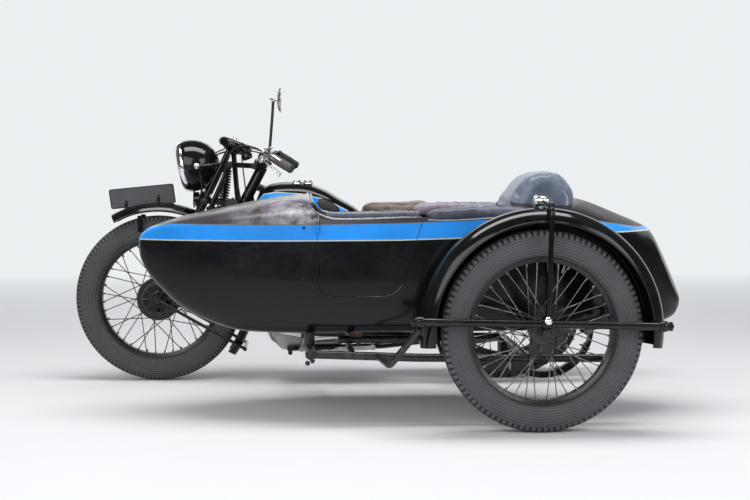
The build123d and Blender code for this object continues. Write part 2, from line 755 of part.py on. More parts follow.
# ---------------------------------------------------------------- handlebar and its fittings
bar_half = ((856, 366, 857), (950, 280, 915), (985, 140, 885), (992, 60, 872))      # tip to clamp
bar_tip = Vector(*bar_half[0])
bar_bend = Vector(*bar_half[1])
grip_way = (bar_tip - bar_bend).normalized()
grip_length = 116
grip_radius = 17
lever_y = 248


def mirrored(point):
    """The same point on the other side of the motorcycle."""
    return point[0], -point[1], point[2]


with BuildPart() as handlebar:
    tube(bar_half + tuple(mirrored(p) for p in reversed(bar_half)), bar_radius, 36)
finish(handlebar, "handlebar")

with BuildPart() as grips:
    for flip in (tuple, mirrored):
        tip = Vector(*flip(tuple(bar_tip + grip_way * 3)))
        way = Vector(*flip(tuple(grip_way)))
        rod(tip, tip - way * grip_length, grip_radius)
    for flip in (tuple, mirrored):
        tip = Vector(*flip(tuple(bar_tip + grip_way * 8)))
        way = Vector(*flip(tuple(grip_way)))
        with BuildSketch(Plane(origin=tip, z_dir=way)):
            Circle(bar_radius + seat_gap)
        extrude(amount=-grip_length - 20, mode=Mode.SUBTRACT)
finish(grips, "handlebar_grips")

def on_bar(y):
    """A point on the handlebar's straight run, right or left."""
    along = (abs(y) - 140) / 140
    return Vector(985 - 35 * along, y, 885 + 30 * along)


bar_bore = bar_radius + seat_gap

with BuildPart() as levers:
    for way in (-1, 1):
        collar(on_bar(way * 222), on_bar(way * 249), 16, bar_bore)
        tube([(x, way * y, z) for x, y, z in ((961, 236, 888), (948, 285, 866), (928, 310, 848),
                                              (901, 338, 822))], 4.5, 18)
        disc((901, way * 338, 822), (-27, way * 28, -26), 7, 10)
finish(levers, "control_levers")

mirror_centre = Vector(914, 256, 1118)

with BuildPart() as mirror:
    collar(on_bar(251), on_bar(261), 16, bar_bore)
    rod((954, 256, 923), (937, 256, 1112), 4.5)
    rod((937, 256, 1118), (920, 256, 1118), 5)
    rod(mirror_centre + Vector(8, 0, 0), mirror_centre - Vector(6, 0, 0), 53)
    with Locations((937, 256, 1114)):
        Sphere(8)
finish(mirror, "mirror")

lamp_centre = Vector(1297, 0, 852)          # middle of the rim's face
lamp_tilt = radians(11)
lens_radius = 276
cable_hole = 4
lamp_way = Vector(cos(lamp_tilt), 0, -sin(lamp_tilt))
lamp_plane = Plane(lamp_centre, x_dir=(sin(lamp_tilt), 0, cos(lamp_tilt)), z_dir=(0, 1, 0))

with BuildPart() as headlamp:
    with BuildSketch(lamp_plane) as lamp_half:       # outward from the lamp's axis, and backward along it
        with BuildLine():
            Polyline((84, 6), (94, 0), (94, -16), (90, -22))
            ThreePointArc((90, -22), (76, -92), (cable_hole, -145.9))
            Line((cable_hole, -145.9), (cable_hole, -62))
            ThreePointArc((cable_hole, -62), (54, -42), (84, -8))
            Line((84, -8), (84, 6))
        make_face()
    revolve(axis=Axis(lamp_centre, lamp_way))
    rod((lamp_stud.X, -90.2, lamp_stud.Z), (lamp_stud.X, -76, lamp_stud.Z), 7)
    rod((lamp_stud.X, 76, lamp_stud.Z), (lamp_stud.X, 90.2, lamp_stud.Z), 7)
finish(headlamp, "headlamp")

with BuildPart() as lamp_glass:
    rod(lamp_centre - lamp_way * 4, lamp_centre + lamp_way * 20, 84 - seat_gap)
    with Locations(lamp_centre + lamp_way * (14 - lens_radius)):
        Sphere(lens_radius, mode=Mode.INTERSECT)
    with Locations(lamp_centre + lamp_way * (10 - lens_radius)):
        Sphere(lens_radius, mode=Mode.SUBTRACT)
finish(lamp_glass, "headlamp_lens")

with BuildPart() as horn:
    rod((1253, 0, 724), (1247, 0, 724), 33)
    rod((1247, 0, 724), (1228, 0, 726), 29)
    rod((1228, 0, 726), (1216, 0, 727), 19)
    rod((1224, 0, 738), (on_girder(742).X, 0, 752), 5)
    bore_along(on_girder(742), 9 + seat_gap)
finish(horn, "horn")

dial_centre = Vector(1088, 0, 952)
dial_tilt = radians(28)
dial_way = Vector(-sin(dial_tilt), 0, cos(dial_tilt))

with BuildPart() as instrument:
    rod(dial_centre - dial_way * 12, dial_centre + dial_way * 14, 60)
    rod(dial_centre - dial_way * 34, dial_centre - dial_way * 12, 42)
    rod(dial_centre + dial_way * 14, dial_centre + dial_way * 20, 50)
    rod(dial_centre - dial_way * 20 + Vector(-20, 0, 0), (1022, 0, 905), 16)
    for y in (-26, 26):
        rod((1026, y, 906), (1006.2, y, 884.5), 6)
    rod((1026, -33, 906), (1026, 33, 906), 8)
    for x, y in ((-34, -24), (-34, 24), (10, 0)):
        knob = dial_centre + Vector(x, y, x * 0.53)
        rod(knob + dial_way * 19, knob + dial_way * 30, 8)
finish(instrument, "instrument_head")

# ---------------------------------------------------------------- sidecar body
body_rows = (
    # x, bottom, shoulder, crown, half width, corner
    (1374, 582, 596, 604, 12, 5),
    (1301, 462, 644, 658, 76, 24),
    (1162, 358, 684, 714, 158, 50),
    (1004, 315, 694, 750, 222, 60),
    (cockpit_front, body_floor, 700, 767, 264, 60),
    (430, body_floor, 690, 758, 280, 60),
    (110, body_floor, 703, 762, 276, 60),
    (-131, body_floor, 702, 757, 240, 60),
    (-304, 308, 650, 693, 170, 50),
    (-406, 312, 598, 643, 120, 40),
    (-478, 326, 470, 500, 74, 24),
    (-515, 376, 412, 424, 30, 10))
door_y = body_y + 280           # outermost side of the body
sill_z = 700                    # above every side's shoulder, below nothing that stays at the cockpit


def shell(inset=0, first=0, last=None):
    """The body's form, or its hollow when inset."""
    rows = body_rows[first:last]
    return loft([section(x, bottom + inset, shoulder - inset / 2, crown - inset, half - inset,
                         max(corner - inset, 6), body_y) for x, bottom, shoulder, crown, half, corner in rows],
                ruled=True, mode=Mode.PRIVATE)


def cockpit_plan(plane, margin=0):
    """The cockpit's outline from above: square behind, rounded in front."""
    half = 280 - cockpit_border - margin
    with BuildSketch(plane) as plan:
        with BuildLine():
            Polyline((cockpit_front - 190, body_y + half), (cockpit_rear, body_y + half),
                     (cockpit_rear, body_y - half), (cockpit_front - 190, body_y - half))
            ThreePointArc((cockpit_front - 190, body_y - half), (cockpit_front - margin, body_y),
                          (cockpit_front - 190, body_y + half))
        make_face()
    return plan.sketch


def door_outline(plane, grow=0):
    """The door seen from its side, over the sill at its top."""
    with BuildSketch(plane) as outline:
        with Locations(((door_front + door_rear) / 2, (door_bottom + 800) / 2)):
            Rectangle(door_front - door_rear + 2 * grow, 800 - door_bottom + 2 * grow)
        fillet(outline.vertices().group_by(Axis.Y)[0], door_corner + grow)
    return outline.sketch


def cockpit_sides(half):
    """The scoop of the cockpit's sides: everything above their edge line, across the body."""
    with BuildSketch(side(body_y)) as scoop:
        with BuildLine():
            Polyline((cockpit_front + 30, 790), (cockpit_front - 5, 757), (782, 729), (731, 702), (681, 689),
                     (430, 686), (cockpit_rear - 20, 699), (cockpit_rear - 20, 800), (cockpit_front + 30, 800),
                     close=True)
        make_face()
    return extrude(scoop.sketch, amount=half, both=True, mode=Mode.PRIVATE)


door_zone = side(body_y + 150)
hinge_x = door_front + 2
hinge_y = 965.6 + hinge_radius

with BuildPart() as sidecar_body:
    add(shell())
    add(shell(body_wall, 1, -2), mode=Mode.SUBTRACT)
    extrude(cockpit_plan(Plane.XY.offset(600)), amount=300, mode=Mode.SUBTRACT)
    add(cockpit_sides(300), mode=Mode.SUBTRACT)
    extrude(door_outline(door_zone, door_gap), amount=-300, mode=Mode.SUBTRACT)
    for z in (498, 640):
        rod((hinge_x, hinge_y, z), (hinge_x, hinge_y, z + 44), hinge_radius)
        with BuildSketch(Plane.XY.offset(z)) as hinge_leaf:
            with Locations((hinge_x + 14, hinge_y - 7)):
                Rectangle(20, 16)
        extrude(hinge_leaf.sketch, amount=44)
finish(sidecar_body, "sidecar_body")

with BuildPart() as door:
    add(shell())
    add(shell(body_wall, 1, -2), mode=Mode.SUBTRACT)
    extrude(cockpit_plan(Plane.XY.offset(600)), amount=300, mode=Mode.SUBTRACT)
    add(cockpit_sides(300), mode=Mode.SUBTRACT)
    extrude(door_outline(door_zone), amount=-300, mode=Mode.INTERSECT)
finish(door, "sidecar_door")
# ---------------------------------------------------------------- trim and upholstery of the body
roll_radius = 13

with BuildPart() as coaming:
    tube(((786, 903, 745), (793, 865, 757), (803, 805, 773), (808, 700, 783), (803, 595, 773),
          (793, 535, 757), (785, 498, 745), (757, 468, 732), (731, 443, 719), (681, 438, 706),
          (446, 432, 703)), roll_radius, 10)
finish(coaming, "cockpit_coaming")

with BuildPart() as door_roll:
    tube(((760, 953, 730), (731, 955, 715), (681, 957, 702), (440, 967, 699.6)), roll_radius, 12)
    relieve(door.part, ((0, 0, 1), (0, 1, 0), (0, -1, 0)))
finish(door_roll, "door_capping")

with BuildPart() as side_pads:
    for y in (body_y - 246, body_y + 246):
        with BuildSketch(side(y)):
            with BuildLine():
                Polyline((428, 684), (426, 714), (412, 732), (150, 738), (138, 704), close=True)
            make_face()
        extrude(amount=26, both=True)
    relieve(sidecar_body.part, ((0, 0, 1), (0, 1, 0), (0, -1, 0)))
finish(side_pads, "cockpit_side_pads")

with BuildPart() as seat_hump:
    with BuildSketch(side(body_y)) as hump_side:
        with BuildLine():
            Polyline((124, 763.5), (108, 771), (74, 815), (34, 836), (-34, 838), (-78, 824), (-110, 788),
                     (-122, 759), close=True)
        make_face()
    extrude(amount=150, both=True)
    add(shell(-seat_gap), mode=Mode.SUBTRACT)
finish(seat_hump, "seat_hump")

with BuildPart() as seat_back:
    with BuildSketch(side(body_y)):
        with BuildLine():
            Polyline((226, 421), (340, 425.6), (225, 740), (150, 740), (130.4, 728), close=True)
        make_face()
    extrude(amount=205, both=True)
finish(seat_back, "seat_back")

with BuildPart() as seat_cushion:
    with BuildSketch(side(body_y)):
        with BuildLine():
            Polyline((222, 323.5), (640, 323.5), (655, 438), (222, 420), close=True)
        make_face()
    extrude(amount=215, both=True)
finish(seat_cushion, "seat_cushion")

# ---------------------------------------------------------------- sidecar chassis
chassis_radius = 14
cross_radius = 16
spring_clamp_x = 88
c_spring_radius = 173
c_spring_leaf = 22
c_spring_centre = Vector(-8, body_y, 305)
c_spring_y = (-130, 130)    # from the body's centre plane
guard_bolt_x, guard_bolt_z = -328, 352    # cross tube through the guard's rear end
guard_bolt_radius = 11


def c_leaf(y, grow, mode):
    """A C-shaped leaf from under the body's tail, round below to its clamp."""
    centre = Vector(c_spring_centre.X, y, c_spring_centre.Z)
    with BuildSketch(Plane(centre, x_dir=(-1, 0, 0), z_dir=(0, 0, -1))) as leaf:
        with Locations((c_spring_radius - c_spring_leaf / 2, 0)):
            Rectangle(c_spring_leaf + 2 * grow, 44 + 2 * grow)
    revolve(leaf.sketch, axis=Axis(centre, (0, -1, 0)), revolution_arc=124 + grow, mode=mode)


with BuildPart() as chassis:
    for points, radius, bend in (
            (((800, chassis_outer_y, 241), (430, chassis_outer_y, 227), (-200, chassis_outer_y, 222),
              (-318, chassis_outer_y, 290), (-328, chassis_outer_y, 356)), chassis_radius, 50),
            (((800, chassis_inner_y, 241), (430, chassis_inner_y, 227), (60, chassis_inner_y, 222)),
             chassis_radius, 60),
            (((800, chassis_outer_y + 16, 241), (800, 560, 241), (812, 300, 176), (822, 101.8, 137)),
             cross_radius, 80),
            (((spring_clamp_x - 14, chassis_outer_y, 222), (spring_clamp_x - 14, chassis_inner_y, 222),
              (200, 240, 178), (306, 107, 168)), cross_radius, 60)):
        tube(points, radius, bend)
    rod((700, chassis_inner_y, 238), (1009.6, 39, 638), 11)           # struts to the motorcycle's frame
    rod((250, chassis_inner_y, 227), (535, 55.4, 521), 11)
    for y in (-150, 150):                                             # mounts under the body's front
        rod((800, body_y + y, 241), (800, body_y + y, body_floor - seat_gap), 18)
    rod((660, chassis_inner_y, 236), (660, chassis_outer_y, 236), 12)
    rod((347, 800, 263), (700, 800, 263), 13.5)                       # beam under the body, with its mount
    rod((357, 800, 262), (357, chassis_outer_y, 230), 8)
    with BuildSketch(Plane.XY.offset(274)) as mount:
        with Locations((640, 800)):
            Rectangle(46, 40)
    extrude(mount.sketch, amount=27)
    rod((wheel_lead, chassis_outer_y, 222), (wheel_lead, chassis_outer_y + 12, tyre_radius), 20)
    rod((wheel_lead, chassis_outer_y - 14, tyre_radius), (wheel_lead, chassis_outer_y + 38, tyre_radius), 24)
    rod((guard_bolt_x, chassis_outer_y, guard_bolt_z), (guard_bolt_x, rail_y - 17.3, guard_bolt_z), guard_bolt_radius)
    tube(((578, chassis_outer_y, 234), (546, rail_y - 50, 224), (455, rail_y, 346.5)), 11, 24)
    for y in c_spring_y:
        with BuildSketch(Plane.XY.offset(222)) as clamp:
            with Locations((spring_clamp_x - 14, body_y + y)):
                RectangleRounded(66, 60, 6)
        extrude(clamp.sketch, amount=-62)
    for y in c_spring_y:
        c_leaf(body_y + y, seat_gap, Mode.SUBTRACT)
    rod((wheel_lead, chassis_outer_y - 30, tyre_radius), (wheel_lead, rail_y + 20, tyre_radius), axle_radius)
    for start, end, radius in ((chassis_outer_y - 20, chassis_outer_y, 15),
                               (chassis_outer_y + 30, track - 52 - seat_gap, 14),
                               (track + 48 + seat_gap, rail_y - 12 - seat_gap, 13),
                               (rail_y + 12 + seat_gap, rail_y + 18, 13)):
        rod((wheel_lead, start, tyre_radius), (wheel_lead, end, tyre_radius), radius)
finish(chassis, "sidecar_chassis")

with BuildPart() as c_springs:
    for y in c_spring_y:
        c_leaf(body_y + y, 0, Mode.ADD)
finish(c_springs, "c_springs")

with BuildPart() as rail:
    rod((471, rail_y, 371), (-346, rail_y, 352), rail_radius)
    for x, z in ((455, 370.6), (-328, 352.3)):
        rod((x - 12, rail_y, z), (x + 12, rail_y, z), 17)
    rod((wheel_lead - 14, rail_y, 361.6), (wheel_lead + 14, rail_y, 362), 17)
    rod((wheel_lead, rail_y, 360), (wheel_lead, rail_y, tyre_radius), 11)
    rod((wheel_lead, rail_y - 12, tyre_radius), (wheel_lead, rail_y + 12, tyre_radius), 17)
    tube(((42, rail_y - 3.5, 368), (34, rail_y - 3.5, side_guard_top - 2), (34, track + 19, side_guard_top + 5.5)),
         6.5, 16)                                                     # guard's stay, bent over its crown
    bore_along(sidecar_axle, axle_radius + seat_gap)
finish(rail, "outer_rail")

with BuildPart() as side_guard:
    add(guard(sidecar_axle, sidecar_guard_radius, side_guard_half, side_guard_drop, -7.5, 188, 3.5))
    tube(((-10, track - side_guard_half, side_guard_top - side_guard_drop - 4),
          (-16, track - side_guard_half - 17, 630), (-20, chassis_outer_y + 4, 320),
          (-20, chassis_outer_y, 224 + chassis_radius)), 5, 40)
    bore_along(Vector(guard_bolt_x, track, guard_bolt_z), guard_bolt_radius + seat_gap)
finish(side_guard, "sidecar_mudguard")

with BuildPart() as side_lamp:
    rod((54, track, side_guard_top), (54, track, side_guard_top + 8), 9)
    rod((24, track, side_guard_top + 21), (71, track, side_guard_top + 21), 18.5)
    rod((71, track, side_guard_top + 21), (82, track, side_guard_top + 21), 17)
finish(side_lamp, "side_lamp")


# ---------------------------------------------------------------- origin and files
boxes = [piece.bounding_box() for piece in pieces.values()]
middle_x = (max(box.max.X for box in boxes) + min(box.min.X for box in boxes)) / 2
middle_y = (max(box.max.Y for box in boxes) + min(box.min.Y for box in boxes)) / 2
origin = Location((-middle_x, -middle_y, 0))
print("rear axle from the origin:", round(-middle_x, 3), round(-middle_y, 3))

for name, piece in pieces.items():
    export_step(piece.moved(origin), f"parts/{name}.step")
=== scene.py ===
"""A girder-fork motorcycle with a boat-bodied sidecar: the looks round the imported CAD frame.

Places are written in millimetres from the rear axle's foot on the ground, X forward, Y left, Z up,
and V() turns them into the frame's metres.
"""
import math

import bmesh
import bpy
from mathutils import Matrix, Vector


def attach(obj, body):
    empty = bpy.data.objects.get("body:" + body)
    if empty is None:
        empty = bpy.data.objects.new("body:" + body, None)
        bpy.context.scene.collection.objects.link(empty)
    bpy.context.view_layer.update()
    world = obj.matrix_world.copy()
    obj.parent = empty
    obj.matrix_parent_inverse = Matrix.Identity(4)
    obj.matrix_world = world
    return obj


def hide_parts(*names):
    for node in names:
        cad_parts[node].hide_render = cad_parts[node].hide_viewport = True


bl_info = {
    "name": "Sidecar motorcycle",
    "version": (1, 0, 0),
    "blender": (4, 5, 0),
    "location": "View3D > Sidebar > Sidecar",
    "description": "Dresses the CAD frame of a sidecar motorcycle",
    "category": "Object",
}

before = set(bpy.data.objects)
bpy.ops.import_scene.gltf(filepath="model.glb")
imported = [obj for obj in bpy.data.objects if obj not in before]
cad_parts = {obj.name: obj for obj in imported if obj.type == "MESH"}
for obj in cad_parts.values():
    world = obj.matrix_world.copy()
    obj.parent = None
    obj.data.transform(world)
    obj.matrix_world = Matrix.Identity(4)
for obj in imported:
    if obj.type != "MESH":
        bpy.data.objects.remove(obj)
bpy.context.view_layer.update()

ORIGIN = Vector((603.0, 419.372, 0))        # the frame's origin, from the rear axle's foot
TYRE_RADIUS = 330
FRONT_AXLE = Vector((1391, 0, TYRE_RADIUS))
REAR_AXLE = Vector((0, 0, TYRE_RADIUS))
SIDE_AXLE = Vector((50, 1120, TYRE_RADIUS))
BODY_Y = 700                                # the sidecar body's middle plane
AHEAD, ALONG_Y, UP = Vector((1, 0, 0)), Vector((0, 1, 0)), Vector((0, 0, 1))
KNEE = Vector((722, 0, 700))                # the middle of a knee grip


def V(x, y, z):
    """A place in millimetres as the frame's metres."""
    return (Vector((x, y, z)) - ORIGIN) / 1000


def polar(centre, radius, degrees, y=None):
    """A place round an axle; 0 degrees is forward, 90 up."""
    turn = math.radians(degrees)
    return (centre.x + radius * math.cos(turn), centre.y if y is None else y,
            centre.z + radius * math.sin(turn))


def turns(count):
    """Even angles round a full turn, from 0."""
    return [2 * math.pi * k / count for k in range(count)]


def quarter(steps):
    """Even angles from 0 to a right angle, with both ends."""
    return [math.pi / 2 * k / steps for k in range(steps + 1)]


def outward(angle):
    """The direction away from an axle at an angle; 0 is forward, a right angle is up."""
    return Vector((math.cos(angle), 0, math.sin(angle)))


def sided(point, way):
    """A place on the left of the motorcycle (way 1), or the same one on its right (way -1)."""
    return Vector((point[0], way * point[1], point[2]))


def mixed(a, b, t):
    """The value or tuple a share t of the way from a to b."""
    if isinstance(a, (tuple, list, Vector)):
        return tuple(p + (q - p) * t for p, q in zip(a, b))
    return a + (b - a) * t


def table_at(rows, x):
    """A row of a table read at x, smoothly between its rows; the first column is x, in either order."""
    rows = sorted(rows)
    i = max(0, min(len(rows) - 2, sum(x >= r[0] for r in rows) - 1))
    a, b = rows[i], rows[i + 1]
    t = (x - a[0]) / (b[0] - a[0])
    slopes = []
    for k in (i, i + 1):
        low, high = rows[max(k - 1, 0)], rows[min(k + 1, len(rows) - 1)]
        slopes.append([(q - p) / (high[0] - low[0]) * (b[0] - a[0]) for p, q in zip(low[1:], high[1:])])
    h = ((2 * t - 3) * t * t + 1, ((t - 2) * t + 1) * t, (3 - 2 * t) * t * t, (t - 1) * t * t)
    return [h[0] * p + h[1] * m + h[2] * q + h[3] * n
            for p, q, m, n in zip(a[1:], b[1:], slopes[0], slopes[1])]


def rounded(points, steps=6, closed=False):
    """A smooth line through points."""
    points = [Vector(p) for p in points]
    count = len(points)
    line = []
    for i in range(count if closed else count - 1):
        if closed:
            p = [points[(i + k) % count] for k in (-1, 0, 1, 2)]
        else:
            p = [points[max(0, min(count - 1, i + k))] for k in (-1, 0, 1, 2)]
        for s in range(steps):
            t = s / steps
            line.append(0.5 * (2 * p[1] + (p[2] - p[0]) * t + (2 * p[0] - 5 * p[1] + 4 * p[2] - p[3]) * t * t
                               + (3 * p[1] - p[0] - 3 * p[2] + p[3]) * t ** 3))
    return line if closed else line + [points[-1]]


def drawn_in(outline, shrink, least=1):
    """A flat outline with its points moved towards its middle; those within the least reach move less."""
    mid = [sum(p[i] for p in outline) / len(outline) for i in (0, 1)]
    line = []
    for point in outline:
        k = 1 - shrink / max(math.dist(point, mid), least)
        line.append([m + (p - m) * k for p, m in zip(point, mid)])
    return line


def square_to(way):
    """Two directions across a direction."""
    way = Vector(way).normalized()
    side = way.cross(UP if abs(way.z) < 0.9 else AHEAD).normalized()
    return side, way.cross(side)


def compass(way):
    """A function that gives the direction across a way at each angle round it."""
    side, up = square_to(way)
    return lambda angle: side * math.cos(angle) + up * math.sin(angle)


# ---------------------------------------------------------------- making meshes
class Form:
    """Collects rings, tubes and plates in millimetres, then makes one piece of them.

    mark says which of the piece's materials the next faces take, counted from 0.
    """

    def __init__(self):
        self.verts, self.faces, self.marks = [], [], []
        self.mark = 0

    def add(self, verts, faces):
        """Adds vertices and the faces between them."""
        start = len(self.verts)
        self.verts += [Vector(v) for v in verts]
        self.faces += [[start + i for i in face] for face in faces]
        self.marks += [self.mark] * len(faces)

    def rings(self, rings, closed=False, caps=True, around=True):
        """A skin over rings of points; closed joins the last to the first, around closes each ring."""
        n = len(rings[0])
        count = len(rings)
        faces = []
        for i in range(count if closed else count - 1):
            a, b = i * n, (i + 1) % count * n
            for j in range(n if around else n - 1):
                k = (j + 1) % n
                faces.append((a + j, b + j, b + k, a + k))
        if caps and not closed and around:
            faces += [list(range(n)), list(reversed(range((count - 1) * n, count * n)))]
        self.add([v for ring in rings for v in ring], faces)

    def tube(self, points, radius, sides=10, closed=False, flat=1.0):
        """A round bar along points; radius is one number or one for each point."""
        points = [Vector(p) for p in points]
        count = len(points)
        side = None
        rings = []
        for i, p in enumerate(points):
            before = points[i - 1] if i or closed else p
            after = points[(i + 1) % count] if i < count - 1 or closed else p
            way = (after - before).normalized()
            side = square_to(way)[0] if side is None else (side - way * side.dot(way)).normalized()
            up = way.cross(side)
            r = radius[i] if isinstance(radius, (list, tuple)) else radius
            rings.append([p + (side * math.cos(a) + up * math.sin(a) * flat) * r
                          for a in turns(sides)])
        self.rings(rings, closed)

    def bar(self, start, end, radius, sides=14, bevel=0.8):
        """A straight round bar with softened ends."""
        start, end = Vector(start), Vector(end)
        way = (end - start).normalized() * min(bevel, (end - start).length / 3)
        r = [radius - bevel, radius, radius, radius - bevel]
        self.tube([start, start + way, end - way, end], r, sides)

    def turn(self, profile, centre, axis=ALONG_Y, sides=48, closed=False):
        """A turned form: profile is (radius, along the axis) from end to end."""
        centre, axis = Vector(centre), Vector(axis).normalized()
        rings = [[centre + out * r + axis * s for r, s in profile] for out in map(compass(axis), turns(sides))]
        self.rings(rings, closed=True, around=closed, caps=False)

    def coil(self, start, end, radius, wire, coils, swell=0, sides=8, dense=14):
        """A coil spring; swell makes its middle fatter."""
        start, end = Vector(start), Vector(end)
        out = compass(end - start)
        steps = int(coils * dense)
        points = []
        for t in (i / steps for i in range(steps + 1)):
            r = radius + swell * math.sin(math.pi * t)
            points.append(start.lerp(end, t) + out(2 * math.pi * coils * t) * r)
        self.tube(points, wire, sides)

    def nut(self, centre, axis, radius, height, stud=0.5):
        """A six-sided nut on a domed stud."""
        centre, axis = Vector(centre), Vector(axis).normalized()
        out = compass(axis)
        self.rings([[centre + out(k * math.pi / 3) * radius * r + axis * height * h for k in range(6)]
                    for r, h in ((0.9, 0), (1, 0.1), (1, 0.85), (0.86, 1))])
        if stud:
            self.turn([(radius * stud, height * 0.5), (radius * stud, height * 1.25),
                       (radius * stud * 0.6, height * 1.45), (0.01, height * 1.5)], centre, axis, 12)

    def plate(self, outline, origin, across, up, thickness, bevel=1.0):
        """A flat plate: outline is (across, up) from its origin, thick to both sides, with soft edges."""
        origin, across, up = Vector(origin), Vector(across).normalized(), Vector(up).normalized()
        out = across.cross(up)
        edge = 0.5 - bevel / thickness
        self.rings([[origin + across * x + up * y + out * thickness * height
                     for x, y in drawn_in(outline, shrink, bevel)]
                    for shrink, height in ((bevel, -0.5), (0, -edge), (0, edge), (bevel, 0.5))])

    def block(self, low, high, bevel=3):
        """An upright box between two corners, with soft edges."""
        (x0, y0, z0), (x1, y1, z1) = low, high
        outline = soft_corners([(x0, y0), (x1, y0), (x1, y1), (x0, y1)], bevel * 2)
        self.plate(outline, (0, 0, (z0 + z1) / 2), AHEAD, ALONG_Y, z1 - z0, bevel)

    def raw(self, name, materials, sharp=None):
        """Makes the object without riding it on anything."""
        mesh = bpy.data.meshes.new(name)
        mesh.from_pydata([V(*v) for v in self.verts], [], self.faces)
        for material in [materials] if isinstance(materials, str) else materials:
            mesh.materials.append(look(material))
        mesh.polygons.foreach_set("material_index", self.marks)
        grid = bmesh.new()
        grid.from_mesh(mesh)
        bmesh.ops.remove_doubles(grid, verts=grid.verts, dist=1e-6)
        bmesh.ops.recalc_face_normals(grid, faces=grid.faces)
        grid.to_mesh(mesh)
        grid.free()
        obj = bpy.data.objects.new(name, mesh)
        bpy.context.scene.collection.objects.link(obj)
        if sharp:
            mesh.shade_smooth()
            mesh.set_sharp_from_angle(angle=math.radians(sharp))
        return obj

    def piece(self, name, body, materials, replaces=(), sharp=35):
        """Makes the object, rides it on its body and hides the nodes that it replaces."""
        return placed(self.raw(name, materials, sharp), body, replaces)


def placed(obj, body, replaces=()):
    """Rides an object on its body and hides the nodes that it stands for."""
    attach(obj, body)
    if replaces:
        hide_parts(*replaces)
    return obj


def apply_modifiers(obj):
    """Bakes an object's modifiers into its mesh."""
    bpy.context.view_layer.update()
    mesh = bpy.data.meshes.new_from_object(obj.evaluated_get(bpy.context.evaluated_depsgraph_get()))
    obj.modifiers.clear()
    obj.data = mesh


def carve(obj, cutter, operation="DIFFERENCE"):
    """Cuts one closed object by another, which is then removed."""
    modifier = obj.modifiers.new("Cut", "BOOLEAN")
    modifier.operation = operation
    modifier.solver = "EXACT"
    modifier.material_mode = "TRANSFER"
    modifier.object = cutter
    apply_modifiers(obj)
    bpy.data.objects.remove(cutter)


def soft_corners(corners, radius, steps=5):
    """A polygon's corners rounded off."""
    line = []
    count = len(corners)
    for i, corner in enumerate(corners):
        p, a, b = Vector(corner), Vector(corners[i - 1]), Vector(corners[(i + 1) % count])
        to_a, to_b = (a - p).normalized(), (b - p).normalized()
        reach = min(radius, (a - p).length / 2.01, (b - p).length / 2.01)
        start, end = p + to_a * reach, p + to_b * reach
        for s in range(steps + 1):
            t = s / steps
            line.append(start.lerp(p, t).lerp(p.lerp(end, t), t))
    return line


# ---------------------------------------------------------------- materials
LOOKS = {}


def look(name):
    """The material of that name, made once."""
    if name not in LOOKS:
        recipe = recipes()[name]
        LOOKS[name] = recipe[0](name, *recipe[1:])
    return LOOKS[name]


class Value:
    """A number that a material works out; sums of values make the nodes for them."""

    def __init__(self, nodes, socket):
        self.nodes, self.socket = nodes, socket

    def __add__(self, other):
        """Value + other."""
        return self.nodes.math("ADD", self, other)

    def __sub__(self, other):
        """Value - other."""
        return self.nodes.math("SUBTRACT", self, other)

    def __rsub__(self, other):
        """Other - value."""
        return self.nodes.math("SUBTRACT", other, self)

    def __mul__(self, other):
        """Value * other."""
        return self.nodes.math("MULTIPLY", self, other)

    def __gt__(self, other):
        """1 where the value is greater, else 0."""
        return self.nodes.math("GREATER_THAN", self, other)

    def __lt__(self, other):
        """1 where the value is less, else 0."""
        return self.nodes.math("LESS_THAN", self, other)

    def __abs__(self):
        """The value without its sign."""
        return self.nodes.math("ABSOLUTE", self)


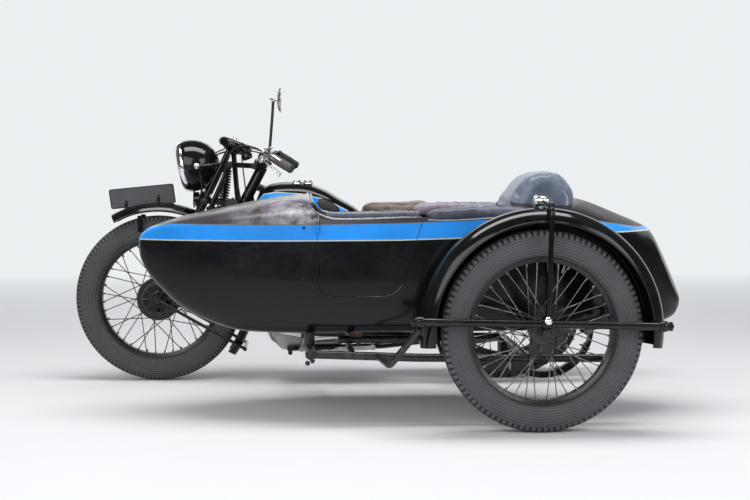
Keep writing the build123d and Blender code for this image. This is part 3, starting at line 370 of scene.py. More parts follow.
class Nodes:
    """A short way to wire a material's nodes."""

    def __init__(self, name):
        self.material = bpy.data.materials.new(name)
        self.material.use_nodes = True
        self.tree = self.material.node_tree
        self.shader = self.tree.nodes["Principled BSDF"]
        self.place = self.new("ShaderNodeTexCoord").outputs["Object"]

    def new(self, kind, inputs=(), **settings):
        """A node with its settings and inputs."""
        node = self.tree.nodes.new(kind)
        for key, value in settings.items():
            setattr(node, key, value)
        for key, value in dict(inputs).items():
            self.feed(node.inputs[key], value)
        return node

    def feed(self, socket, value):
        """Sets a socket to a number or colour, or links it to an output."""
        if isinstance(value, Value):
            value = value.socket
        if isinstance(value, bpy.types.NodeSocket):
            self.tree.links.new(value, socket)
        elif isinstance(value, (tuple, list)) and len(value) == 3 and socket.type == "RGBA":
            socket.default_value = (*value, 1)
        else:
            socket.default_value = value

    def set(self, **inputs):
        """Sets the shader's inputs; underscores stand for blanks."""
        for key, value in inputs.items():
            self.feed(self.shader.inputs[key.replace("_", " ")], value)

    def math(self, operation, a, b=0.0):
        """A value from one or two others."""
        return Value(self, self.new("ShaderNodeMath", {0: a, 1: b}, operation=operation).outputs[0])

    def axes(self):
        """The place's three coordinates."""
        return [Value(self, socket) for socket in self.new("ShaderNodeSeparateXYZ", {0: self.place}).outputs]

    def from_axle(self, axle):
        """How far a place is forward of an axle, above it and away from it."""
        x, _, z = self.axes()
        centre = V(*axle)
        across, up = x - centre.x, z - centre.z
        squares = across * across + up * up
        return across, up, self.math("SQRT", squares)

    def ramp(self, value, low, high, to_low=0.0, to_high=1.0):
        """A value from one range to another, held at its ends."""
        return Value(self, self.new("ShaderNodeMapRange", {"Value": value, "From Min": low, "From Max": high,
                                                           "To Min": to_low, "To Max": to_high}).outputs[0])

    def noise(self, scale, detail=4.0, rough=0.55, stretch=None):
        """Clouds through the object, which stretch can draw out."""
        place = self.place
        if stretch:
            place = self.new("ShaderNodeMapping", {"Vector": place, "Scale": stretch}).outputs[0]
        return Value(self, self.new("ShaderNodeTexNoise", {"Vector": place, "Scale": scale, "Detail": detail,
                                                           "Roughness": rough}).outputs["Fac"])

    def cells(self, scale):
        """Pebbles packed together."""
        cells = self.new("ShaderNodeTexVoronoi", {"Vector": self.place, "Scale": scale})
        return Value(self, cells.outputs["Distance"])

    def mix(self, share, a, b):
        """A colour a share of the way from a to b."""
        node = self.new("ShaderNodeMix", data_type="RGBA")
        self.feed(node.inputs["Factor"], share)
        self.feed(node.inputs["A"], a)
        self.feed(node.inputs["B"], b)
        return node.outputs["Result"]

    def bump(self, height, strength, distance=0.001, under=None):
        """A surface raised by height, on top of another one where under is given."""
        inputs = {"Height": height, "Strength": strength, "Distance": distance}
        if under is not None:
            inputs["Normal"] = under
        return self.new("ShaderNodeBump", inputs).outputs[0]


def finish_nodes():
    """Gives each CAD node that stays its own material."""
    for name, nodes in NODE_LOOKS.items():
        for node in nodes:
            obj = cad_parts[node]
            for slot in obj.material_slots:
                slot.material = look(name)


def scaled(colour, k):
    """A colour made lighter or darker."""
    return tuple(min(1, c * k) for c in colour)


def enamel(name, colour, rough=0.07, dust=0.05):
    """Glossy stoved paint, with faint dust and polishing swirls."""
    n = Nodes(name)
    cloud = n.noise(9, 6, 0.6)
    speck = n.noise(120, 3, 0.7)
    film = n.ramp(cloud, 0.45, 0.75) * dust
    n.set(Base_Color=n.mix(film, colour, (0.10, 0.10, 0.10)),
          Roughness=n.ramp(cloud * 0.7 + speck * 0.3, 0.3, 0.75, rough, rough + 0.16),
          Normal=n.bump(n.noise(60, 2), 0.03, 0.0005), Specular_IOR_Level=0.3, Coat_Weight=0.15,
          Coat_Roughness=0.06)
    return n.material


def worn_paint(name, colour, rust, amount=0.5, rough=0.35):
    """Old paint over steel, browned and rubbed."""
    n = Nodes(name)
    patch = n.ramp(n.noise(26, 8, 0.68), 0.62 - 0.22 * amount, 0.72)
    fine = n.noise(190, 4, 0.7)
    n.set(Base_Color=n.mix(patch * n.ramp(fine, 0.3, 0.7), colour, n.mix(fine, scaled(rust, 0.6), rust)),
          Roughness=n.ramp(patch, 0, 1, rough, 0.75), Metallic=0.0, Normal=n.bump(fine, 0.12, 0.0006))
    return n.material


def chrome(name, colour=(0.83, 0.84, 0.86), rough=0.07, haze=0.22):
    """Plated metal with a hazy bloom."""
    n = Nodes(name)
    cloud = n.noise(35, 6, 0.65)
    pits = n.ramp(n.noise(260, 3, 0.7), 0.66, 0.74)
    n.set(Base_Color=n.mix(pits * 0.5, colour, (0.22, 0.17, 0.13)), Metallic=1.0,
          Roughness=n.ramp(cloud, 0.35, 0.8, rough, haze) + pits * 0.3, Normal=n.bump(cloud, 0.02, 0.0005))
    return n.material


def cast_metal(name, colour, rough=0.42, grain=420, metal=0.9, grime=0.6):
    """Sand-cast metal with grime in its hollows."""
    n = Nodes(name)
    sand = n.noise(grain, 3, 0.6)
    cloud = n.ramp(n.noise(22, 7, 0.65), 0.42, 0.72)
    n.set(Base_Color=n.mix(cloud * grime, colour, scaled(colour, 0.28)), Metallic=metal,
          Roughness=n.ramp(sand, 0.3, 0.7, rough, rough + 0.2), Normal=n.bump(sand, 0.22, 0.0006))
    return n.material


def tyre_rubber(name, colour, axle, lugs):
    """Aged rubber, paler and dusty on its walls, with moulding rings round the axle; painted shade darkens the rings'
    grooves and the gaps between the shoulder lugs.
    """
    n = Nodes(name)
    cloud = n.noise(16, 7, 0.7)
    grit = n.noise(320, 4, 0.75)
    across, up, radius = n.from_axle(axle)
    rings = n.math("SINE", radius * 700.0)
    wall = n.ramp(radius, 0.322, 0.312)
    dusty = n.ramp(cloud, 0.3, 0.75, 0.35, 1) * wall
    shade = n.mix(dusty, scaled(colour, 0.55), scaled(colour, 1.25))
    # painted shade: dark lines along the bottoms of the sidewall's moulded rings
    groove_shade = n.ramp(rings, -0.55, -0.95) * (wall * 0.7)
    turn = n.math("COSINE", n.math("ARCTAN2", up, across) * float(lugs))
    shoulder = (radius > 0.311) * (radius < 0.3262)
    # painted shade: the gaps between the shoulder lugs are darkened
    gap_shade = n.ramp(turn, 0.1, 0.4) * shoulder
    shade = n.mix(shoulder * 0.45, shade, scaled(colour, 1.9))
    n.set(Base_Color=n.mix(n.math("MAXIMUM", groove_shade, gap_shade), shade, scaled(colour, 0.22)),
          Roughness=n.ramp(cloud, 0.3, 0.8, 0.55, 0.8), Specular_IOR_Level=0.4,
          Normal=n.bump(grit, 0.16, 0.0008, n.bump(rings * wall, 0.6, 0.0012)))
    return n.material


def leather(name, colour, wear, rough=0.42, grain=620, crease=40):
    """Hide with a pebbled grain, soft creases and rubbed high places."""
    n = Nodes(name)
    pebble = n.cells(grain)
    fold = n.noise(crease, 5, 0.6)
    cloud = n.noise(13, 6, 0.6)
    wear_and_sheen = n.ramp(cloud * 0.75 + fold * 0.35, 0.42, 0.78)
    n.set(Base_Color=n.mix(wear_and_sheen, colour, wear), Roughness=n.ramp(cloud, 0.3, 0.75, rough, rough + 0.18),
          Normal=n.bump(pebble, 0.24, 0.0007, n.bump(fold, 0.3, 0.0022)), Sheen_Weight=0.08)
    return n.material


def glass(name, colour=(0.9, 0.94, 0.96), rough=0.03, flutes=0.0, alpha=0.32):
    """Thin lamp or mirror glass; flutes moulds upright ribs."""
    n = Nodes(name)
    y = n.axes()[1]
    n.set(Base_Color=colour, Roughness=rough, IOR=1.45, Alpha=alpha, Coat_Weight=0.6, Coat_Roughness=0.02,
          Normal=n.bump(n.math("SINE", y * 700.0) + n.noise(70), flutes, 0.001))
    return n.material


def plain(name, colour, rough, metal=0.0, grain=240, strength=0.08, vary=0.35):
    """Moulded or plated stock with a slight grain and colour drift."""
    n = Nodes(name)
    fine = n.noise(grain, 4, 0.65)
    cloud = n.noise(18, 5, 0.6)
    n.set(Base_Color=n.mix(n.ramp(cloud, 0.35, 0.7) * vary, colour, scaled(colour, 0.55)), Metallic=metal,
          Roughness=n.ramp(fine, 0.3, 0.7, rough, min(1, rough + 0.15)), Normal=n.bump(fine, strength, 0.0006))
    return n.material


HUB_RADIUS, RIM_RADIUS, LIP_RADIUS = 0.096, 0.2235, 0.2465       # where a wheel's finish changes, in metres


def wheel_metal(name, axle, spokes=0.0):
    """A wheel's parts by radius: dark hub, dull spokes, black rim with bright edges."""
    n = Nodes(name)
    radius = n.from_axle(axle)[2]
    hub, rim, lip = radius < HUB_RADIUS, radius > RIM_RADIUS, radius > LIP_RADIUS
    cloud = n.ramp(n.noise(60, 6, 0.7), 0.4, 0.7)
    steel = n.mix(cloud, (0.30, 0.295, 0.29), (0.10, 0.085, 0.07))
    base = n.mix(hub, n.mix(spokes, steel, (0.016, 0.016, 0.017)),
                 n.mix(cloud, (0.022, 0.021, 0.021), (0.05, 0.043, 0.038)))
    base = n.mix(rim, base, (0.012, 0.012, 0.013))
    n.set(Base_Color=n.mix(lip, base, (0.30, 0.31, 0.32)),
          Metallic=n.math("MAXIMUM", 1.0 - rim - hub, lip) * (1.0 - spokes),
          Roughness=n.ramp(cloud, 0, 1, 0.22, 0.45), Normal=n.bump(n.noise(300), 0.06, 0.0005))
    return n.material


BACKDROP = (0.84, 0.865, 0.88)      # what shows behind the outfit


def studio_wall(name, colour):
    """Pale matt paint that shows as an even background beyond the object."""
    n = Nodes(name)
    y = n.axes()[1]
    path = n.new("ShaderNodeLightPath")
    seen = n.math("MAXIMUM", path.outputs["Is Camera Ray"], path.outputs["Is Glossy Ray"])
    far = n.ramp(y, V(0, -1500, 0).y, V(0, -5000, 0).y) * seen
    n.set(Base_Color=n.mix(n.noise(3), colour, scaled(colour, 0.97)), Roughness=0.8, Specular_IOR_Level=0.1,
          Normal=n.bump(n.noise(60), 0.02))
    glow = n.new("ShaderNodeEmission", {"Color": BACKDROP, "Strength": 1.0}).outputs[0]
    both = n.new("ShaderNodeMixShader", {0: far, 1: n.shader.outputs[0], 2: glow}).outputs[0]
    n.tree.links.new(both, n.tree.nodes["Material Output"].inputs["Surface"])
    return n.material


PINLINE = 0.0019            # half width of the pale lines, in metres
STRIPE_BOTTOM = ((-230, 639), (-138, 626), (232, 626), (500, 617), (832, 614), (1398, 607))
STRIPE_TOP = ((-342, 652), (-138, 684), (199, 686), (500, 673), (832, 667), (1276, 664), (1343, 652), (1377, 638),
              (1392, 610))


def line_height(n, x, points):
    """The height of a straight-sided line drawn on the body, as a node's output."""
    points = sorted(points)
    height = points[0][1] / 1000
    for (x0, z0), (x1, z1) in zip(points, points[1:]):
        low, high = V(x0, 0, 0).x, V(x1, 0, 0).x
        height = n.ramp(x, low, high, 0.0, (z1 - z0) / 1000) + height
    return height


def body_paint(name, black, blue, gold):
    """The sidecar's two-colour paint: a blue band with gold lines on black, dusty and polished, with painted sheen on
    its deck.
    """
    n = Nodes(name)
    x, _, z = n.axes()
    bottom, top = line_height(n, x, STRIPE_BOTTOM), line_height(n, x, STRIPE_TOP)
    above, below = z - bottom, top - z
    band = (above > 0.0) * (below > 0.0)
    line = n.math("MAXIMUM", abs(above) < PINLINE, abs(below) < PINLINE * 0.8)
    within = (above + below) > PINLINE
    line, band = line * within, band * within
    cloud, smear = n.noise(7, 7, 0.62), n.noise(22, 6, 0.7, (1, 1, 3))
    film = n.ramp(cloud * smear, 0.22, 0.44) * 0.03
    deep = n.mix(n.ramp(n.noise(5, 5), 0.35, 0.7), blue, scaled(blue, 0.78))
    deck = z > top + 0.001
    fore = n.ramp(x, V(1120, 0, 0).x, V(790, 0, 0).x) * (x > V(770, 0, 0).x)
    # painted sheen: pale lilac-grey patches on the fore deck, strongest next to the cockpit
    wear_and_sheen = n.ramp(n.noise(15, 8, 0.7), 0.40, 0.62) * fore
    # painted sheen: the deck is painted lighter than the black sides, more so from the tail towards the cockpit
    deck_sheen = n.mix(n.ramp(x, V(200, 0, 0).x, V(700, 0, 0).x), (0.012, 0.011, 0.012), (0.040, 0.034, 0.038))
    ground = n.mix(deck, black, n.mix(wear_and_sheen, deck_sheen, (0.36, 0.34, 0.39)))
    upper = abs(below) < abs(above)
    paint = n.mix(line, n.mix(band, ground, deep), n.mix(upper, gold, scaled(gold, 0.22)))
    sheen = n.ramp(cloud + smear * 0.5, 0.5, 1.0, 0.10, 0.30)
    n.set(Base_Color=n.mix(film, paint, (0.12, 0.12, 0.125)), Roughness=sheen + deck * 0.14,
          Specular_IOR_Level=0.26,
          Normal=n.bump(n.noise(48, 3), 0.035, 0.0006), Coat_Weight=0.13, Coat_Roughness=0.05)
    return n.material


def tank_paint(name, black, blue, gold):
    """The tank: black, with a blue side panel edged in gold."""
    n = Nodes(name)
    x, y, z = n.axes()
    side = abs(y - V(0, 0, 0).y)
    top = line_height(n, x, ((632, 678), (691, 709), (745, 731), (821, 749), (927, 755), (972, 747), (994, 722)))
    reach = top - z
    for edge in (x - V(640, 0, 0).x, V(992, 0, 0).x - x, z - V(0, 0, 634).z, side - 0.045):
        reach = n.math("MINIMUM", reach, edge)
    panel = reach > 0.0
    line = abs(reach) < 0.0016
    cloud = n.noise(14, 6, 0.6)
    n.set(Base_Color=n.mix(line, n.mix(panel, black, blue), gold), Roughness=n.ramp(cloud, 0.35, 0.75, 0.1, 0.26),
          Normal=n.bump(n.noise(60, 2), 0.03, 0.0005), Specular_IOR_Level=0.25, Coat_Weight=0.1, Coat_Roughness=0.03)
    return n.material


def recipes():
    """Each material's recipe and its values; colours that a user may change come from the settings."""
    paint = bpy.context.scene.sidecar_paint
    black, blue, gold = tuple(paint.enamel), tuple(paint.band), tuple(paint.lining)
    seats, pads, hide = tuple(paint.seats), tuple(paint.pads), tuple(paint.saddle)
    return {
        "BlackEnamel": (enamel, black),
        "DoorEdge": (enamel, scaled(black, 1.6), 0.4),
        "Lining": (plain, (0.030, 0.024, 0.022), 0.8),
        "BodyPaint": (body_paint, black, blue, gold),
        "TankPaint": (tank_paint, black, blue, gold),
        "ChassisPaint": (worn_paint, (0.016, 0.015, 0.015), (0.12, 0.07, 0.045), 0.3, 0.24),
        "RailPaint": (enamel, (0.006, 0.0055, 0.006), 0.1, 0.12),
        "BlackIron": (cast_metal, (0.035, 0.034, 0.034), 0.3, 300, 0.6, 0.4),
        "NavyHide": (leather, (0.022, 0.028, 0.045), (0.085, 0.095, 0.135), 0.3),
        "SteelBlueHide": (leather, (0.10, 0.165, 0.25), (0.30, 0.40, 0.50), 0.24),
        "KneeRubber": (plain, (0.032, 0.027, 0.026), 0.5, 0.0, 260, 0.2),
        "Chrome": (chrome,),
        "DullChrome": (chrome, (0.55, 0.55, 0.55), 0.2, 0.42),
        "Aluminium": (cast_metal, (0.60, 0.60, 0.59)),
        "IronFins": (cast_metal, (0.030, 0.030, 0.031), 0.5, 300, 0.2, 0.4),
        "Steel": (cast_metal, (0.28, 0.275, 0.27), 0.35, 300, 1.0, 0.5),
        "ChainSteel": (cast_metal, (0.10, 0.092, 0.085), 0.42, 300, 1.0, 0.6),
        "FrontTyre": (tyre_rubber, (0.058, 0.059, 0.062), FRONT_AXLE, 120),
        "RearTyre": (tyre_rubber, (0.050, 0.050, 0.051), REAR_AXLE, 50),
        "SideTyre": (tyre_rubber, (0.070, 0.072, 0.078), SIDE_AXLE, 100),
        "FrontWheelMetal": (wheel_metal, FRONT_AXLE, 1.0),
        "RearWheelMetal": (wheel_metal, REAR_AXLE),
        "SideWheelMetal": (wheel_metal, SIDE_AXLE),
        "GripRubber": (plain, (0.085, 0.070, 0.060), 0.7, 0.0, 260, 0.2),
        "BlackRubber": (plain, (0.020, 0.020, 0.020), 0.6, 0.0, 260, 0.15),
        "MountRubber": (plain, (0.16, 0.075, 0.04), 0.6, 0.0, 200, 0.3),
        "BlueLeather": (leather, seats, (0.135, 0.165, 0.23), 0.3),
        "PlumLeather": (leather, pads, (0.30, 0.27, 0.33), 0.28),
        "BrownLeather": (leather, hide, (0.20, 0.14, 0.12), 0.36),
        "PalePiping": (leather, (0.19, 0.20, 0.24), (0.34, 0.35, 0.38), 0.4, 900, 120),
        "LampGlass": (glass, (0.9, 0.94, 0.96), 0.03, 0.35),
        "RedGlass": (glass, (0.45, 0.012, 0.010), 0.06, 0.2, 0.85),
        "MirrorGlass": (chrome, (0.9, 0.92, 0.93), 0.02, 0.04),
        "DialFace": (plain, (0.62, 0.60, 0.54), 0.4),
        "DialMarks": (plain, (0.02, 0.02, 0.02), 0.5),
        "PlateBlack": (plain, (0.050, 0.052, 0.058), 0.36, 0.0, 180, 0.05, 0.4),
        "Floor": (studio_wall, tuple(bpy.context.scene.sidecar_stage.floor)),
    }


# CAD nodes that keep their own shape, and their looks
NODE_LOOKS = {
    "BlackEnamel": ("frame", "toolbox", "rear_mudguard", "steering_stem", "fork_girder", "front_brake_plate",
                    "front_mudguard", "horn", "sidecar_mudguard", "tail_lamp", "front_stand", "rear_stand"),
    "Aluminium": ("crankcase", "primary_case", "cylinder_head", "gearbox"),
    "IronFins": ("cylinder_block",),
    "Steel": ("carburettor",),
    "Chrome": ("exhaust", "kick_starter"),
    "DullChrome": ("gear_lever", "brake_pedal"),
    "ChassisPaint": ("sidecar_chassis",),
    "RailPaint": ("outer_rail",),
    "BlackRubber": ("footrests", "battery_box"),
    "PlateBlack": ("rear_number_plate",),
    "FrontWheelMetal": ("front_wheel",),
    "RearWheelMetal": ("rear_wheel",),
    "SideWheelMetal": ("sidecar_wheel",),
}


# ---------------------------------------------------------------- sidecar body
BODY_LINES = (
    # x, bottom, shoulder, crown, half width, corner
    (1391, 588, 593, 600, 8, 4),
    (1384, 548, 606, 621, 24, 10),
    (1376, 525, 616, 630, 34, 14),
    (1352, 484, 630, 648, 56, 22),
    (1308, 436, 642, 665, 86, 34),
    (1254, 387, 650, 682, 116, 44),
    (1162, 339, 658, 704, 160, 54),
    (1050, 306, 664, 727, 208, 62),
    (936, 300, 668, 749, 242, 62),
    (805, 300, 669, 764, 264, 62),
    (430, 304, 671, 758, 279, 62),
    (110, 305, 676, 760, 275, 62),
    (-131, 305, 668, 752, 239, 62),
    (-304, 309, 618, 690, 169, 52),
    (-394, 312, 572, 650, 126, 44),
    (-412, 314, 560, 634, 116, 40),
    (-455, 322, 480, 556, 88, 30),
    (-496, 340, 410, 464, 50, 18),
    (-514, 366, 396, 420, 26, 10))
DOOR_FRONT, DOOR_BOTTOM, DOOR_CORNER = 775, 430, 62
SCOOP = ((835, 800), (806, 765), (803, 741), (789, 720), (766, 701), (737, 691), (707, 687), (600, 688), (499, 691),
         (430, 691), (110, 699), (110, 830), (835, 830))


def body_ring(x, inset=0):
    """The body's outline across at x, drawn in by an inset."""
    bottom, shoulder, crown, half, corner = table_at(BODY_LINES, x)
    bottom, crown, half, corner = bottom + inset, crown - inset, half - inset, max(corner - inset, 4)
    shoulder = max(min(shoulder, crown - 4), bottom + corner + 4)
    right = [(half - corner) * k / 3 for k in range(3)]
    ring = [(y, bottom) for y in right]
    ring += [(half - corner + corner * math.sin(a), bottom + corner - corner * math.cos(a))
             for a in quarter(7)]
    low = bottom + corner
    ring += [(half + 3 * math.sin(math.pi * k / 9), low + (shoulder - low) * k / 9) for k in range(1, 9)]
    peak = min(1, max(0, (430 - x) / 400))               # the tail's deck rises to a ridge
    ring += [(half * math.cos(a) ** (0.82 + 0.6 * peak),
              shoulder + (crown - shoulder) * math.sin(a) ** (1 + 0.4 * peak)) for a in quarter(16)[:-1]]
    ring += [(0, crown)]
    left = [(-y, z) for y, z in ring[-2:0:-1]]
    return [(x, BODY_Y + y, z) for y, z in ring + left]


def body_hull(name, material, inset=0, front=1391, rear=-514, steps=96):
    """The body's closed form, or its hollow when drawn in."""
    form = Form()
    stations = [mixed(rear, front, 0.5 - 0.5 * math.cos(math.pi * i / steps) if inset == 0 else i / steps)
                for i in range(steps + 1)]
    form.rings([body_ring(x, inset) for x in stations])
    return form.raw(name, material)


def door_prism(name, grow):
    """The door's outline pushed through the body's left side."""
    corners = [(371 - grow, 860), (DOOR_FRONT + grow, 860), (DOOR_FRONT + grow, DOOR_BOTTOM - grow),
               (504 - grow, DOOR_BOTTOM - grow)]
    steps = 14
    line = corners[:2] + soft_corners(corners, DOOR_CORNER, steps)[2 * (steps + 1):]     # only the lower two
    form = Form()
    form.rings([[(x, y, z) for x, z in line] for y in (1100, 850)])
    return form.raw(name, "DoorEdge")


def cockpit_prism(name):
    """Everything that the cockpit's plan takes out of the deck."""
    half = 235
    rear, front = 130, 806
    near, far = BODY_Y + half, BODY_Y - half
    plan = soft_corners([(rear, far), (front, far), (front, near), (rear, near)], 60, 8)
    plan = [(x if x > 300 else rear, y) for x, y in plan]
    form = Form()
    form.rings([[(x, y, z) for x, y in plan] for z in (600, 900)])
    return form.raw(name, "Lining")


def scoop_prism(name):
    """Everything above the cockpit's side line."""
    form = Form()
    form.rings([[(x, y, z) for x, z in SCOOP] for y in (330, 1070)])
    return form.raw(name, "DoorEdge")


def sidecar_body():
    """The hollow body, open at the cockpit and at its door."""
    for name, node, body, cut in (("body_skin", "sidecar_body", "chassis", "DIFFERENCE"),
                                  ("door_skin", "sidecar_door", "door", "INTERSECT")):
        skin = body_hull(name, "BodyPaint")
        carve(skin, body_hull("hollow", "Lining", 10, 1340, -440, 44))
        carve(skin, cockpit_prism("cockpit"))
        carve(skin, scoop_prism("scoop"))
        carve(skin, door_prism("doorway", 1.6 if cut == "DIFFERENCE" else -0.4), cut)
        skin.data.shade_smooth()
        skin.data.set_sharp_from_angle(angle=math.radians(28))
        placed(skin, body, [node])
    hinges = Form()
    for z in (498, 640):
        hinges.turn([(0.01, 0), (5, 0.5), (7, 3), (7, 14), (6, 14.5), (6, 15.5), (7, 16), (7, 28), (6, 28.5),
                     (6, 29.5), (7, 30), (7, 41), (5, 43.5), (0.01, 44)], (DOOR_FRONT, 970.6, z), UP, 20)
    hinges.piece("door_hinges", "chassis", "BodyPaint")


def deck_trim():
    """The knob on the rear deck, the small screws and the bead along the foot of the body's nose."""
    knob = Form()
    knob.turn([(13, -2), (13, 0), (7, 3), (5.5, 8), (9, 12), (11, 17), (9, 22), (4, 25), (0.01, 25.6)],
              (-92, BODY_Y, 752), UP, 24)
    knob.piece("deck_knob", "chassis", "Chrome")
    screws = Form()
    for x, z in ((819.5, 657), (819.5, 488)):
        y = BODY_Y + table_at(BODY_LINES, x)[3] + 1.6
        screws.turn([(5, -2), (5, 0), (4, 1.6), (2, 2.3), (0.01, 2.4)], (x, y, z), ALONG_Y, 14)
    screws.piece("body_screws", "chassis", "BlackEnamel")
    keel = Form()
    line = [(x, BODY_Y, table_at(BODY_LINES, x)[0] - 0.5)
            for x in (1390, 1387, 1384, 1380, 1376, 1364, 1352, 1330, 1308, 1280, 1254, 1220, 1190, 1162, 1120,
                      1080, 1050)]
    keel.tube(rounded(line, 4), 3.2, 8)
    keel.piece("stem_bead", "chassis", "RailPaint")


# ---------------------------------------------------------------- upholstery
CLOTH_FRAMES = 20


def swollen(obj, cap, pressure=4.0, voxel=0.006):
    """Blows a cushion up as cloth, with its movement capped, and bakes the result."""
    remesh = obj.modifiers.new("Remesh", "REMESH")
    remesh.mode, remesh.voxel_size = "VOXEL", voxel
    apply_modifiers(obj)
    start = [v.co.copy() for v in obj.data.vertices]
    cloth = obj.modifiers.new("Cloth", "CLOTH")
    cloth.settings.use_pressure = True
    cloth.settings.uniform_pressure_force = pressure
    cloth.settings.effector_weights.gravity = 0
    cloth.settings.tension_stiffness = cloth.settings.compression_stiffness = 18
    cloth.settings.quality = 5
    for i in range(CLOTH_FRAMES):
        bpy.context.scene.frame_set(i + 1)
    apply_modifiers(obj)
    for vert, home in zip(obj.data.vertices, start):
        move = vert.co - home
        if move.length > cap:
            vert.co = home + move * (cap / move.length)
    bpy.context.scene.frame_set(1)
    smooth = obj.modifiers.new("Smooth", "SMOOTH")
    smooth.iterations, smooth.factor = 4, 0.6
    apply_modifiers(obj)
    obj.data.shade_smooth()
    return obj


def channels(obj, lines, depth, reach, along=0):
    """Sinks sewn channels into a pad across one axis, at places in metres."""
    for vert in obj.data.vertices:
        near = min(abs(vert.co[along] - line) for line in lines)
        vert.co -= vert.normal * depth * math.exp(-(near / reach) ** 2)
    obj.data.update()


def padded_block(name, side_line, y0, y1, round_off=16):
    """A closed pad from its side outline (x, z) between two widths, drawn in towards its ends."""
    line = soft_corners(side_line, round_off)
    form = Form()
    form.rings([[(x, y, z) for x, z in drawn_in(line, shrink)]
                for y, shrink in ((y0, 12), (y0 + 5, 4), (y0 + 14, 0), (y1 - 14, 0), (y1 - 5, 4), (y1, 12))])
    return form.raw(name, "BlueLeather")


def piping(name, points, body, material, radius=3.2):
    """A sewn cord along an edge."""
    form = Form()
    form.tube(rounded(points, 8), radius, 8)
    return form.piece(name, body, material)


def seats():
    """The passenger's cushion and back, blown up and channelled."""
    cushion = padded_block("seat_cushion_pad", ((230, 328), (632, 328), (645, 430), (230, 412)), 492, 908, 22)
    swollen(cushion, 0.010)
    channels(cushion, [V(x, 0, 0).x for x in (310, 390, 470, 550)], 0.006, 0.006)
    back = padded_block("seat_back_pad", ((232, 428), (332, 430), (222, 732), (156, 732), (140, 722)), 503, 897, 20)
    swollen(back, 0.010)
    channels(back, [V(0, y, 0).y for y in (560, 616, 672, 728, 784, 840)], 0.006, 0.006, 1)
    for pad, node in ((cushion, "seat_cushion"), (back, "seat_back")):
        placed(pad, "chassis", [node])


HUMP_HALF = 146             # half the headrest's width
HUMP = ((136, 719), (118, 745), (102, 764), (68, 805), (50, 821), (27, 832), (0, 837.5), (-62, 837.6), (-82, 828),
        (-97, 812), (-122, 778), (-129, 750))
HUMP_PANEL = ((60, 727), (52, 748), (38, 770), (18, 787), (-8, 797), (-38, 799), (-66, 790), (-84, 772), (-92, 748),
              (-90, 727))


def seat_hump():
    """The padded headrest behind the cockpit."""
    line = rounded(HUMP, 4)
    form = Form()
    rings = []
    for k in range(25):
        t = -1 + 2 * k / 24
        y = BODY_Y + HUMP_HALF * math.copysign(1 - (1 - abs(t)) ** 1.6, t)
        near = (abs(y - BODY_Y) / HUMP_HALF) ** 2
        ring = [(x + near * (25 if x < 0 else -18 * x / 136), y, max(z - 14 * near ** 4 * (z > 762), 722))
                for x, z in line]
        rings.append(ring + [(mixed(-96, 112, s / 5), y, 700) for s in range(6)])
    form.rings(rings)
    pad = form.raw("seat_hump_pad", "BlueLeather")
    swollen(pad, 0.006, 4.0, 0.005)
    for vert in pad.data.vertices:                       # gathered folds above the side panels
        x, y, z = (vert.co * 1000 + ORIGIN)
        if abs(y - BODY_Y) > 60 and z > 770:
            vert.co.z += 0.0016 * math.sin(x / 5.5) * min(1, (abs(y - BODY_Y) - 60) / 60)
    placed(pad, "chassis", ["seat_hump"])


def hump_panels():
    """The piped panel let into each side of the headrest."""
    for name, way in (("left", 1), ("right", -1)):
        panel = Form()
        panel.rings([[(mixed(-15, x, grow), BODY_Y + way * out, mixed(745, z, grow))
                      for x, z in rounded(HUMP_PANEL, 4)]
                     for grow, out in ((1.0, 139), (1.0, 146.5), (0.97, 149.0), (0.86, 150.4), (0.5, 151.2))])
        obj = panel.piece("hump_panel_" + name, "chassis", "SteelBlueHide")
        piping("hump_piping_" + name, [(x, BODY_Y + way * 148.5, z) for x, z in HUMP_PANEL], "chassis", "BlueLeather",
               3.0)


NEAR_EDGE = ((430, 969, 693), (499, 970, 693), (600, 969, 689), (706, 967, 687.5), (737, 963, 692), (765, 955, 702),
             (785, 935, 714), (797, 905, 729), (803, 860, 745), (805, 780, 760), (805, 700, 765))


def cockpit_edge():
    """The bead round the cockpit and the padded roll on its front and far side."""
    near = [Vector((x, 2 * BODY_Y - y if flip else y, z)) for flip, rows in ((0, NEAR_EDGE), (1, NEAR_EDGE[-2::-1]))
            for x, y, z in rows]
    bead = Form()
    bead.tube(rounded(near, 5), 3.4, 8)
    bead.piece("cockpit_bead", "chassis", "DullChrome")
    path = rounded(((798, 895, 736), (801, 840, 748), (802, 760, 757), (802, 700, 760), (802, 640, 757),
                    (801, 560, 748), (796, 500, 734), (776, 458, 708), (745, 440, 686), (700, 434, 678),
                    (600, 433, 678), (446, 431, 679)), 8)
    roll = Form()
    roll.tube([p + Vector((-7, 0, -3)) for p in path], [7.5] * len(path), 14)
    obj = roll.piece("cockpit_roll", "chassis", "BlueLeather", ["cockpit_coaming"])


